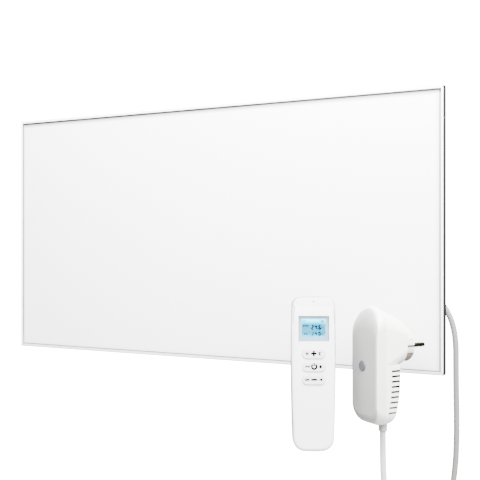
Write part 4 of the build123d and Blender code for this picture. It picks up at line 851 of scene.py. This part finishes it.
class StageSettings(PropertyGroup):
    lens: FloatProperty(name="Lens", description="Focal length", default=61.23,
                        unit="CAMERA")
    camera_place: FloatVectorProperty(name="Camera", description="Where the camera stands",
                                      default=(0.50206, -0.93503, -0.0169), size=3,
                                      subtype="TRANSLATION", unit="LENGTH")
    camera_turn: FloatProperty(name="Turn", description="Camera's turn about the upright",
                               default=math.radians(26.65), subtype="ANGLE")
    rise: FloatProperty(name="Rise", description="Upward shift of the frame",
                        default=0.01154)
    key_power: FloatProperty(name="Key light", description="Power of the wide light above",
                             default=84.0, unit="POWER")
    front_power: FloatProperty(name="Front light", description="Power of the frontal light",
                               default=268.0, unit="POWER")
    rear_power: FloatProperty(name="Rear light", description="Power of the light behind",
                              default=70.0, unit="POWER")
    surround: FloatProperty(name="Surround", description="Strength of the white room",
                            default=0.35)
    background: FloatProperty(name="Background",
                              description="Strength of what the camera sees behind",
                              default=24.0)


class CordSettings(PropertyGroup):
    diameter: length_property("Diameter", "Outer diameter of the cord's sheath", 6.5)
    length: length_property("Length", "Length from the panel to the receiver", 1911.0)
    pitch: length_property("Pitch", "Space from one turn of the coil to the next", 7.1)
    colour: colour_property("Colour", "Colour of the sheath", (0.50, 0.50, 0.48))
    # painted shade on the sheath by the panel
    shaded_colour: colour_property("Aged colour", "Colour of the sheath by the panel",
                                 (0.155, 0.151, 0.144))


class BootSettings(PropertyGroup):
    ribs: IntProperty(name="Ribs", description="Grooves round the panel's strain relief",
                      default=7, min=0, max=12)
    groove: length_property("Groove", "Depth of each groove", 0.55)
    colour: colour_property("Colour", "Colour of both strain reliefs", (0.36, 0.36, 0.34))


class DisplaySettings(PropertyGroup):
    upper: StringProperty(name="Upper row", description="Three digits, with one decimal",
                          default="246")
    lower: StringProperty(name="Lower row", description="Three digits, with one decimal",
                          default="240")
    field_left: length_property("Left", "Left edge of the lit field", -12.2)
    field_right: length_property("Right", "Right edge of the lit field", 12.2)
    field_bottom: length_property("Bottom", "Bottom edge of the lit field", 38.6)
    field_top: length_property("Top", "Top edge of the lit field", 57.4)
    digit_colour: colour_property("Digits", "Colour of the digits", (0.0002, 0.003, 0.007))
    field_colour: colour_property("Field", "Colour of the lit field", (0.0045, 0.11, 0.175))
    field_top_colour: colour_property("Field's top", "Colour at the lit field's top",
                                      (0.018, 0.68, 0.95))
    rim_colour: colour_property("Rim", "Colour round the lit field", (0.16, 0.21, 0.265))
    glow: FloatProperty(name="Glow", description="Light that the field gives", default=0.04)


class KeyMarkSettings(PropertyGroup):
    raised: length_property("Raised", "How far a mark stands out of its key", 0.09)
    half_stroke: length_property("Half stroke", "Half the width of a main mark's line", 0.98)
    colour: colour_property("Colour", "Colour of the main marks", (0.001, 0.001, 0.001))
    pale_colour: colour_property("Pale colour", "Colour of the small marks",
                                 (0.005, 0.005, 0.0055))


class PanelFinishSettings(PropertyGroup):
    plate_colour: colour_property("Plate", "Powder coat of the plate", (0.90, 0.90, 0.90))
    bar_colour: colour_property("Bars", "Powder coat of the frame bars", (0.97, 0.97, 0.97))
    # painted shade on the right-hand bar's outer face
    right_side_shade_colour: colour_property("Bar sides", "Outer face of the right-hand bar",
                                     (0.012, 0.012, 0.012))
    # painted shade in the shadow gap round the plate: dark at the top and left, lighter on the
    # right and below
    groove_shadow_colour: colour_property("Groove", "Shadow gap round the plate", (0.022, 0.022, 0.022))
    lit_groove_shadow_colour: colour_property("Lit groove", "Shadow gap right and below",
                                       (0.25, 0.25, 0.25))


class ReceiverFinishSettings(PropertyGroup):
    # painted shade on the front cover's forward face
    cover_shade_colour: colour_property("Cover", "Front cover's face", (0.315, 0.315, 0.31))
    rim_colour: colour_property("Rim", "Front cover's rim", (0.72, 0.712, 0.69))
    core_colour: colour_property("Plug", "Core of the plug", (0.65, 0.64, 0.60))
    shell_colour: colour_property("Shell", "Rear shell", (0.87, 0.85, 0.81))
    button_colour: colour_property("Button", "Round button", (0.085, 0.088, 0.097))
    # painted shade: the clips' nickel darkened, and their lower ends darker still
    clip_colour: colour_property("Clips", "Nickel of the earth clips", (0.34, 0.29, 0.23))
    clip_shadow_colour: colour_property("Tarnish", "Lower ends of the earth clips",
                                    (0.05, 0.035, 0.022))
    # painted shade: the pins' nickel darkened nearly to black
    pin_shade_colour: colour_property("Pins", "Nickel of the pins", (0.05, 0.043, 0.033))


class CasingSettings(PropertyGroup):
    sharp_above: FloatProperty(name="Sharp above", default=math.radians(28), subtype="ANGLE",
                               description="Turn of an edge that stays sharp")


class RemoteFinishSettings(PropertyGroup):
    casing_colour: colour_property("Casing", "Casing of the remote", (0.89, 0.89, 0.89))
    key_colour: colour_property("Keys", "Key caps", (0.70, 0.70, 0.71))


# ---------------------------------------------------------------- stage

# Each soft light: where it stands, what it faces, its width and height, and the setting
# that holds its power.
LIGHTS = {
    "key_light": ((0.3, -0.35, 0.5), (0.1, 0.0, 0.1), 1.3, 0.4, "key_power"),
    "front_light": ((1.9, -1.7, 1.3), (0.1, 0.0, -0.1), 1.6, 1.2, "front_power"),
    "rear_light": ((-0.3, 1.9, 0.7), (0.0, 0.0, -0.1), 1.8, 1.2, "rear_power"),
}
FLOOR_RADIUS = 1.9
FLOOR_Z = -1.4


def soft_light(name, place, towards, width, height, power):
    """A rectangular area light at place, facing a point."""
    light = bpy.data.lights.new(name, "AREA")
    light.shape = "RECTANGLE"
    light.size = width
    light.size_y = height
    light.energy = power
    lamp = bpy.data.objects.new(name, light)
    bpy.context.scene.collection.objects.link(lamp)
    lamp.location = place
    away = np.subtract(place, towards)
    reach = math.hypot(away[0], away[1])
    lamp.rotation_euler = (math.atan2(reach, away[2]), 0.0,
                           math.atan2(away[1], away[0]) + math.pi / 2)


def floor_disc():
    """A round floor well below the panel: rings whose radius grows evenly, and whose height
    falls with the sixth power of the radius, so only near the rim."""
    radius = np.linspace(0.0, FLOOR_RADIUS, 25)[1:]
    angle = np.linspace(0, 2 * np.pi, 96, endpoint=False)
    drop = 0.02 * (radius / FLOOR_RADIUS) ** 6
    top = np.stack([np.outer(radius, np.cos(angle)), np.outer(radius, np.sin(angle)) - 0.2,
                    np.broadcast_to(FLOOR_Z - drop[:, None], (24, 96))], axis=-1)
    under = top[::-1] - (0.0, 0.0, 0.03)
    finish = Finish("floor_paint")
    finish.skin("Orange peel", (0.82, 0.82, 0.82, 1.0), 0.7, 60.0, 0.02)
    filled_object("floor", closed_tube(np.concatenate([top, under])),
                           finish.material)


class PANELHEATER_OT_stage(Operator):
    """Set up the camera, the soft lights, the white room and the floor"""

    bl_idname = "panel_heater.stage"
    bl_label = "Stage"

    def execute(self, context):
        settings = context.scene.heater_stage
        camera = bpy.data.cameras.new("camera")
        camera.lens = settings.lens
        camera.sensor_width = 36.0
        camera.shift_y = settings.rise
        stand = bpy.data.objects.new("camera", camera)
        context.scene.collection.objects.link(stand)
        stand.location = settings.camera_place
        stand.rotation_euler = (math.pi / 2, 0.0, settings.camera_turn)
        context.scene.camera = stand
        for name, (place, towards, width, height, power) in LIGHTS.items():
            soft_light(name, place, towards, width, height, getattr(settings, power))
        world = bpy.data.worlds.new("white_room")
        world.use_nodes = True
        context.scene.world = world
        w = Wiring(world.node_tree)
        world.node_tree.nodes.clear()
        seen = w.put("ShaderNodeLightPath").outputs["Is Camera Ray"]
        room = w.put("ShaderNodeBackground", {"Strength": settings.surround})
        back = w.put("ShaderNodeBackground", {"Strength": settings.background})
        for node in (room, back):
            node.inputs["Color"].default_value = (1.0, 1.0, 1.0, 1.0)
        both = w.put("ShaderNodeMixShader", {0: seen, 1: room.outputs[0], 2: back.outputs[0]})
        w.put("ShaderNodeOutputWorld", {"Surface": both.outputs[0]})
        floor_disc()
        return {"FINISHED"}


# ---------------------------------------------------------------- cord and strain reliefs

SHEATH = {"roughness": 0.5, "grain": 1300.0, "shade": 0.05, "depth": 0.00002, "dust": 0.03}
CORD_SHADE_FROM_Y = -0.07                         # painted shade darkens the sheath between these two, in metres
CORD_SHADE_TO_Y = -0.03


def sheath(name, colour):
    """Soft cord sheath: a matte, finely grained skin."""
    return moulded(name, colour, **SHEATH, Sheen_Weight=0.1)


def cord_finish(settings):
    """The free cord's sheath, with painted shade that makes it darker towards the panel: the
    colour changes over the coil, from the receiver's run in front to the panel's run behind."""
    finish = Finish("cord_sheath")
    # painted shade: darker towards the panel's run behind
    cord_shade = finish.w.span(finish.axes()["Y"], CORD_SHADE_FROM_Y, CORD_SHADE_TO_Y, 0.0, 1.0, True)
    colour = finish.w.mix(cord_shade, opaque(settings.colour), opaque(settings.shaded_colour))
    finish.coat("Moulded skin", colour, **SHEATH)
    return finish.set(Sheen_Weight=0.1)


def closed_profile(along, radius):
    """A boot's profile with four more points on each end, which run in evenly almost to its
    axis."""
    steps = np.linspace(0.0, 1.0, 5)[:-1]
    along = np.concatenate([np.full(4, along[0]), along, np.full(4, along[-1])])
    radius = np.concatenate([radius[0] * steps + 0.02, radius,
                             radius[-1] * steps[::-1] + 0.02])
    return np.stack([along, radius], axis=1)


def panel_boot_profile(settings):
    """Distance along the boot and radius, in millimetres: a cylinder that blends into a cone,
    less a row of rounded grooves, with a rounded rim at the tip."""
    s = np.linspace(0.0, 24.0, 241)
    first, pitch = 5.2, 2.2
    grooved = (s > first) & (s < first + pitch * settings.ribs)
    wave = (1 - np.cos(2 * np.pi * (s - first) / pitch)) / 2
    rim = np.clip((s - 23.3) / 0.7, 0, 1)
    radius = np.interp(s, (0.0, 4.5, 24.0), (4.8, 4.8, 3.9))
    radius = radius - np.where(grooved, settings.groove * wave ** 2, 0.0)
    return closed_profile(s, radius - 0.45 * (1 - np.sqrt(1 - rim ** 2)))


def receiver_boot_profile(settings):
    """Distance down the boot and radius, in millimetres: a straight collar, one rounded
    groove, and a lip that rounds in to the cord."""
    s = np.linspace(0.0, 20.5, 206)
    lip = np.clip((s - 18.6) / 1.9, 0, 1)
    radius = 4.8 - settings.groove * np.exp(-((s - 17.1) / 0.55) ** 2)
    return closed_profile(s, radius - 1.0 * (1 - np.sqrt(1 - lip ** 2)))


class PANELHEATER_OT_boots(Operator):
    """Make the strain reliefs at the panel and at the receiver"""

    bl_idname = "panel_heater.boots"
    bl_label = "Strain reliefs"

    def execute(self, context):
        settings = context.scene.heater_boots
        material = sheath("boot_sheath", settings.colour)
        for name, node, frame_at, turn, start, along, profile in (
                ("panel_strain_relief", "cord_boot", (0, 0, 0), 0.0, PANEL_BOOT_AT,
                 (1.0, 0.0, 0.0), panel_boot_profile),
                ("receiver_strain_relief", "receiver_boot", RECEIVER_AT, RECEIVER_TURN,
                 RECEIVER_BOOT_AT, (0.0, 0.0, -1.0), receiver_boot_profile)):
            surface = placed(turned_about(start, along, profile(settings)), frame_at, turn)
            boot = piece_on(MAIN_BODY, name, surface, material)
            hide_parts(node)
        return {"FINISHED"}


def coil_points(start, end, pitch):
    """The coil's points, from the panel's side to the receiver's, in millimetres.

    The radius falls and grows again by one pitch a turn, layer by layer, and the coil moves
    along its axis by one pitch in each half turn about a layer's end, in half a cosine wave.
    The angle runs evenly through all the turns."""
    start, end = np.asarray(start, float), np.asarray(end, float)
    layer_turns = COIL_TURNS / COIL_LAYERS
    outer = COIL_MIDDLE_RADIUS + layer_turns * pitch / 2
    inner = outer - layer_turns * pitch
    half_width = (COIL_LAYERS - 1) * pitch / 2
    stretch = math.atan2(start[1] - end[1], start[0] - end[0])
    turn = stretch - math.atan2(half_width, outer)
    across = np.array([math.cos(turn), math.sin(turn), 0.0])
    axis = np.array([across[1], -across[0], 0.0])
    middle = np.append((start[:2] + end[:2]) / 2, COIL_MIDDLE_Z)
    t = np.linspace(0.0, COIL_TURNS, int(16 * COIL_TURNS) + 1)
    layer = np.minimum((t / layer_turns).astype(int), COIL_LAYERS - 1)
    run = (t - layer_turns * layer) * pitch
    radius = np.where(layer % 2 == 1, inner + run, outer - run)
    climbs = np.arange(1, COIL_LAYERS)[:, None] * layer_turns
    share = np.clip((t - climbs) / STEP_TURNS + 0.5, 0, 1)
    height = -half_width + (pitch * (1 - np.cos(np.pi * share)) / 2).sum(0)
    angle = 2 * np.pi * t
    return (middle + np.outer(radius * np.cos(angle), across)
            - np.outer(radius * np.sin(angle), (0.0, 0.0, 1.0)) + np.outer(height, axis))


def cord_points(pitch):
    """The whole route in metres: down from the panel, round the coil, up to the receiver."""
    exit_point = row_frame(CORD_EXIT_IN_RECEIVER, RECEIVER_AT, RECEIVER_TURN) / MM
    coil = coil_points(PANEL_STRETCH, exit_point[:2], pitch)
    lead = (0.0, 0.0, COIL_LEAD)
    first, last = coil[0] + lead, coil[-1] + lead
    down = [*PANEL_ROUTE, (first[0], first[1], ABOVE_COIL_PANEL_Z), first]
    up = [last, (last[0], last[1], ABOVE_COIL_RECEIVER_Z), TO_RECEIVER,
          (exit_point[0], exit_point[1], BELOW_RECEIVER_Z), exit_point]
    return np.concatenate([down, coil, up]) * MM


class PANELHEATER_OT_cord(Operator):
    """Make the mains cord: one spline on the route's points"""

    bl_idname = "panel_heater.cord"
    bl_label = "Mains cord"

    def execute(self, context):
        settings = context.scene.heater_cord
        points = cord_points(settings.pitch)
        curve = bpy.data.curves.new("mains_cord", "CURVE")
        curve.dimensions = "3D"
        curve.bevel_depth = settings.diameter * MM / 2
        curve.bevel_resolution = 5
        curve.use_fill_caps = True
        spline = curve.splines.new("NURBS")
        spline.points.add(len(points) - 1)
        spline.points.foreach_set("co", np.column_stack([points, np.ones(len(points))]).ravel())
        spline.order_u = 3
        spline.use_endpoint_u = True
        spline.resolution_u = 6
        curve.materials.append(cord_finish(settings))
        cord = bpy.data.objects.new("mains_cord", curve)
        context.scene.collection.objects.link(cord)
        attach(cord, MAIN_BODY)
        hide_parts("cord_run_panel", "cord_coil", "cord_run_receiver")
        return {"FINISHED"}


# ---------------------------------------------------------------- display

# Segments of a seven-segment digit, as ends in a unit box: x to the right, z up.
SEGMENTS = {
    "top": ((0.0, 1.0), (1.0, 1.0)), "upper_left": ((0.0, 1.0), (0.0, 0.5)),
    "upper_right": ((1.0, 1.0), (1.0, 0.5)), "middle": ((0.0, 0.5), (1.0, 0.5)),
    "lower_left": ((0.0, 0.5), (0.0, 0.0)), "lower_right": ((1.0, 0.5), (1.0, 0.0)),
    "bottom": ((0.0, 0.0), (1.0, 0.0)),
}
DIGITS = {
    "0": "top upper_left upper_right lower_left lower_right bottom",
    "1": "upper_right lower_right",
    "2": "top upper_right middle lower_left bottom",
    "3": "top upper_right middle lower_right bottom",
    "4": "upper_left upper_right middle lower_right",
    "5": "top upper_left middle lower_right bottom",
    "6": "top upper_left middle lower_left lower_right bottom",
    "7": "top upper_right lower_right",
    "8": "top upper_left upper_right middle lower_left lower_right bottom",
    "9": "top upper_left upper_right middle lower_right bottom",
}
# Each row of digits: the left and right edges of its digits, its low and high edge, and
# half the width of a segment, in the remote's millimetres.
UPPER_ROW = ((-2.6, 1.0, 4.7), (0.3, 4.0, 8.0), 46.0, 51.6, 0.72)
LOWER_ROW = ((-1.8, 1.0, 4.6), (0.3, 3.6, 7.7), 39.9, 44.4, 0.66)
# Small bars: the row's height, a bar's length and half width, and where each begins.
SMALL_BARS = ((50.35, 1.7, 0.72, (-11.2, -9.0, -6.9)), (42.0, 1.5, 0.66, (-10.0, -7.9)))
# Faint thin lines: rays beside a ring on the left, a battery's outline on the right.
FAINT_LINES = (
    ((-11.4, 55.2), (-10.9, 55.2)), ((-8.3, 55.2), (-7.8, 55.2)),
    ((7.6, 56.0), (10.6, 56.0)), ((7.6, 54.4), (10.6, 54.4)),
    ((7.7, 54.4), (7.7, 56.0)), ((10.5, 54.4), (10.5, 56.0)),
)


def segment(ends, left, width, low, height, half_width):
    """One digit's segment: a bar between two ends of the unit box, drawn in a little."""
    a = np.array([left + ends[0][0] * width, low + ends[0][1] * height])
    b = np.array([left + ends[1][0] * width, low + ends[1][1] * height])
    draw = (b - a) / np.linalg.norm(b - a) * half_width * 0.35
    return bar(a + draw, b - draw, half_width, *PRINT_DEPTH, 5.0)


def number(text, lefts, rights, low, high, half_width):
    """The bars of a row of digits, each between its left and right edge."""
    parts = []
    for digit, left, right in zip(text, lefts, rights):
        for name in DIGITS[digit].split():
            parts.append(segment(SEGMENTS[name], left + half_width,
                                 right - left - 2 * half_width, low + half_width,
                                 high - low - 2 * half_width, half_width))
    return parts


class PANELHEATER_OT_display(Operator):
    """Make the display's digits and small marks"""

    bl_idname = "panel_heater.display"
    bl_label = "Display"

    def execute(self, context):
        settings = context.scene.heater_display
        dark = finish_print("display_print", settings.digit_colour)
        faint = finish_print("display_faint_print", tuple(
            0.55 * a + 0.45 * b
            for a, b in zip(settings.field_colour, settings.digit_colour)))
        digits = number(settings.upper, *UPPER_ROW) + number(settings.lower, *LOWER_ROW)
        digits += [bar((4.1, 46.6), (4.6, 46.6), 0.28, *PRINT_DEPTH, 3.0),
                   bar((3.85, 40.4), (4.3, 40.4), 0.25, *PRINT_DEPTH, 3.0),
                   ring((9.4, 48.6), 0.62, 0.2, *PRINT_DEPTH),
                   ring((9.0, 41.6), 0.55, 0.18, *PRINT_DEPTH)]
        marks = [bar((x, z), (x + long, z), half, *PRINT_DEPTH, 8.0)
                 for z, long, half, lefts in SMALL_BARS for x in lefts]
        faint_marks = [bar(start, end, 0.18, *PRINT_DEPTH) for start, end in FAINT_LINES]
        faint_marks += [ring((-9.6, 55.2), 0.9, 0.2, *PRINT_DEPTH),
                        bar((8.2, 55.2), (9.4, 55.2), 0.45, *PRINT_DEPTH, 8.0)]
        for name, parts, material in (("display_digits", digits, dark),
                                      ("display_marks", marks, dark),
                                      ("display_faint_marks", faint_marks, faint)):
            on_remote(MAIN_BODY, name, parts, material)
        dress(display_finish(settings), "lcd_module")
        dress(lens_finish(), "lcd_lens")
        return {"FINISHED"}


# ---------------------------------------------------------------- key marks

class PANELHEATER_OT_key_marks(Operator):
    """Print the marks on the three keys"""

    bl_idname = "panel_heater.key_marks"
    bl_label = "Key marks"

    def execute(self, context):
        settings = context.scene.heater_key_marks
        dark = finish_print("key_print", settings.colour)
        pale = finish_print("key_pale_print", settings.pale_colour)
        depth = (KEY_FRONT - settings.raised, KEY_PRINT_BACK)
        h = settings.half_stroke

        def line(start, end, half, power=12.0):
            return bar(start, end, half, *depth, power)

        rays = np.radians(np.arange(0, 360, 60))
        ends = np.stack([np.cos(rays), np.sin(rays)], axis=1)
        sun = [ring((-6.9, 21.9), 0.75, 0.5, *depth)]
        sun += [line((-6.9, 21.9) + 1.4 * end, (-6.9, 21.9) + 2.2 * end, 0.3) for end in ends]
        moon = [arc((6.9, 21.9), 1.4, 60, 300, 0.8, *depth, 2.0)]
        bed = [line((-8.3, 8.6), (-4.9, 8.6), 0.5), line((-8.2, 7.4), (-8.2, 9.8), 0.6),
               line((-5.0, 7.4), (-5.0, 9.8), 0.6)]
        house = [wedge((7.0, 10.5), (7.0, 8.7), 2.1, *depth),
                 line((5.6, 7.7), (8.4, 7.7), 1.0, 10.0)]
        crossed = [ring((-7.9, -4.95), 0.9, 0.45, *depth),
                   line((-6.7, -5.9), (-4.6, -4.0), 0.45),
                   line((-6.7, -4.0), (-4.6, -5.9), 0.45)]
        arrow = [wedge((5.2, -5.0), (8.8, -5.0), 1.7, *depth)]
        marks = {
            "plus": ([line((-3.1, 22.0), (3.1, 22.0), h), line((0.0, 18.9), (0.0, 25.1), h)],
                     sun + moon),
            "power": ([arc((0.4, 8.55), 2.5, 122, 418, h, *depth, 24.0),
                       line((0.4, 9.3), (0.4, 12.3), 0.8 * h)], bed + house),
            "minus": ([line((-2.9, -4.95), (3.5, -4.95), h)], crossed + arrow),
        }
        for key, (main_marks, side_marks) in marks.items():
            body = f"key_{key}_body"
            on_remote(body, f"key_{key}_mark", main_marks, dark)
            on_remote(body, f"key_{key}_side_marks", side_marks, pale)
        return {"FINISHED"}


# ---------------------------------------------------------------- finishes

class PANELHEATER_OT_panel_finish(Operator):
    """Give the heating panel, its box and its wall rails their finishes"""

    bl_idname = "panel_heater.panel_finish"
    bl_label = "Panel finishes"

    def execute(self, context):
        settings = context.scene.heater_panel_finish
        dress(plate_finish(settings), "front_plate")
        dress(bar_finish("frame_bar_coat", settings, Coat_Weight=0.1, Coat_Roughness=0.3),
              "frame_top", "frame_bottom", "frame_left")
        dress(bar_finish("right_bar_coat", settings, Specular_IOR_Level=0.06), "frame_right")
        dress(rolled("mill_aluminium", (0.62, 0.63, 0.65)), "back_plate", "corner_keys")
        dress(rolled("rivet_aluminium", (0.66, 0.67, 0.69), 0.3, (1.0, 1.0, 1.0), 500.0),
              "back_plate_rivets", "hook_rivets")
        dress(rolled("zinc_plate", (0.62, 0.64, 0.66), 0.38, (0.05, 1.0, 1.0), 700.0, 0.08,
                     0.000003),
              "hanger_hooks", "wall_rail_upper", "wall_rail_lower")
        dress(rolled("zinc_screw", (0.50, 0.51, 0.53), 0.28, (1.0, 1.0, 1.0), 700.0, 0.2),
              "corner_screws", "junction_box_screws", "receiver_screws", "remote_screws")
        dress(heating_film_finish((0.035, 0.03, 0.028)), "heating_film")
        dress(rolled("copper_strip", (0.72, 0.36, 0.22), 0.25, (1.0, 1.0, 0.04), 900.0, 0.2),
              "busbars")
        dress(rolled("brass_stud", (0.66, 0.46, 0.24), 0.25, (1.0, 1.0, 1.0), 600.0, 0.2),
              "earth_stud")
        dress(rolled("bright_foil", (0.78, 0.79, 0.80), 0.16, (1.0, 1.0, 1.0), 180.0, 0.08,
                     0.0003), "reflector_foil")
        dress(fibre_board_finish((0.62, 0.57, 0.40)), "insulation_board")
        dress(moulded("box_plastic", (0.76, 0.76, 0.75), 0.5, 1400.0, 0.00003),
              "junction_box_base", "junction_box_lid", "cable_gland", "gland_nut")
        dress(moulded("terminal_plastic", (0.80, 0.80, 0.77), 0.45), "terminal_block")
        dress(moulded("cutout_plastic", (0.02, 0.02, 0.022), 0.4), "thermal_cutout")
        dress(moulded("clamp_plastic", (0.22, 0.23, 0.24), 0.5), "cord_clamp")
        dress(sheath("lead_sheath", (0.22, 0.08, 0.03)), "inner_leads")
        dress(sheath("tail_sheath", context.scene.heater_cord.colour), "cord_tail")
        return {"FINISHED"}


class PANELHEATER_OT_receiver_finish(Operator):
    """Give the receiver and the cord's tie their finishes"""

    bl_idname = "panel_heater.receiver_finish"
    bl_label = "Receiver finishes"

    def execute(self, context):
        settings = context.scene.heater_receiver_finish
        dress(cover_finish(settings), "receiver_front_cover")
        dress(shell_finish(settings), "receiver_rear_shell")
        dress(moulded("button_plastic", settings.button_colour, 0.3, 1500.0),
              "receiver_button")
        dress(moulded("switch_plastic", (0.02, 0.02, 0.022), 0.4), "button_switch")
        dress(board_finish("receiver_board_mask", (0.015, 0.10, 0.045)), "receiver_board")
        dress(moulded("relay_plastic", (0.02, 0.07, 0.26), 0.25, 900.0), "relay")
        dress(moulded("capacitor_plastic", (0.62, 0.42, 0.05), 0.25, 900.0), "capacitor")
        dress(core_finish(settings), "plug_core")
        # pins in painted shade
        dress(rolled("pin_nickel", settings.pin_shade_colour, 0.24, (1.0, 1.0, 1.0), 500.0, 0.15),
              "plug_pins")
        dress(clip_finish(settings), "earth_clips")
        dress(moulded("tie_plastic", (0.74, 0.74, 0.73), 0.4, 1200.0, 0.00003), "cord_tie")
        return {"FINISHED"}


class PANELHEATER_OT_casings(Operator):
    """Make smoothly shaded copies of the casings of the receiver and the remote"""

    bl_idname = "panel_heater.casings"
    bl_label = "Casings"

    def execute(self, context):
        for node in ("receiver_front_cover", "receiver_rear_shell", "remote_front_shell",
                     "remote_rear_shell", "battery_door"):
            smooth_copy(node, node + "_smooth",
                        context.scene.heater_casings.sharp_above)
        return {"FINISHED"}


class PANELHEATER_OT_remote_finish(Operator):
    """Give the remote its finishes"""

    bl_idname = "panel_heater.remote_finish"
    bl_label = "Remote finishes"

    def execute(self, context):
        settings = context.scene.heater_remote_finish
        dress(remote_finish(settings), "remote_front_shell", "remote_rear_shell",
              "battery_door")
        dress(moulded("key_plastic", settings.key_colour, 0.45, 1700.0),
              "key_plus", "key_power", "key_minus")
        dress(moulded("mat_silicone", (0.56, 0.56, 0.55), 0.6, 900.0), "keypad_mat")
        dress(board_finish("remote_board_mask", (0.02, 0.12, 0.05)), "remote_board")
        dress(moulded("led_plastic", (0.05, 0.03, 0.05), 0.12, 700.0, Coat_Weight=0.5),
              "remote_led")
        dress(cell_finish((0.04, 0.11, 0.08)), "batteries")
        dress(rolled("contact_nickel", (0.60, 0.58, 0.54), 0.25, (1.0, 1.0, 1.0), 600.0,
                     0.15), "battery_contacts")
        return {"FINISHED"}


# ---------------------------------------------------------------- add-on

SETTINGS = {
    "heater_stage": StageSettings, "heater_boots": BootSettings,
    "heater_panel_finish": PanelFinishSettings,
    "heater_receiver_finish": ReceiverFinishSettings,
    "heater_remote_finish": RemoteFinishSettings, "heater_casings": CasingSettings,
    "heater_cord": CordSettings, "heater_display": DisplaySettings,
    "heater_key_marks": KeyMarkSettings,
}
OPERATORS = (
    PANELHEATER_OT_stage, PANELHEATER_OT_boots, PANELHEATER_OT_panel_finish,
    PANELHEATER_OT_receiver_finish, PANELHEATER_OT_remote_finish, PANELHEATER_OT_casings,
    PANELHEATER_OT_cord, PANELHEATER_OT_display, PANELHEATER_OT_key_marks,
)


class PANELHEATER_PT_sidebar(Panel):
    """Lists the heater's pieces and their settings"""

    bl_idname = "PANELHEATER_PT_sidebar"
    bl_label = "Panel heater"
    bl_space_type = "VIEW_3D"
    bl_region_type = "UI"
    bl_category = "Panel heater"

    def draw(self, context):
        for (name, group), operator in zip(SETTINGS.items(), OPERATORS):
            box = self.layout.box()
            box.operator(operator.bl_idname)
            for setting in group.__annotations__:
                box.prop(getattr(context.scene, name), setting)


def register():
    """Adds the settings to the scene, and the operators and the panel to the interface."""
    for cls in (*SETTINGS.values(), *OPERATORS, PANELHEATER_PT_sidebar):
        bpy.utils.register_class(cls)
    for name, group in SETTINGS.items():
        setattr(bpy.types.Scene, name, PointerProperty(type=group))


def unregister():
    """Takes away what register adds."""
    for name in SETTINGS:
        delattr(bpy.types.Scene, name)
    for cls in (PANELHEATER_PT_sidebar, *OPERATORS, *SETTINGS.values()):
        bpy.utils.unregister_class(cls)


def main():
    """Makes the heater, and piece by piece."""
    register()
    for operator in OPERATORS:
        section, name = operator.bl_idname.split(".")
        getattr(getattr(bpy.ops, section), name)()


if __name__ == "__main__":
    main()
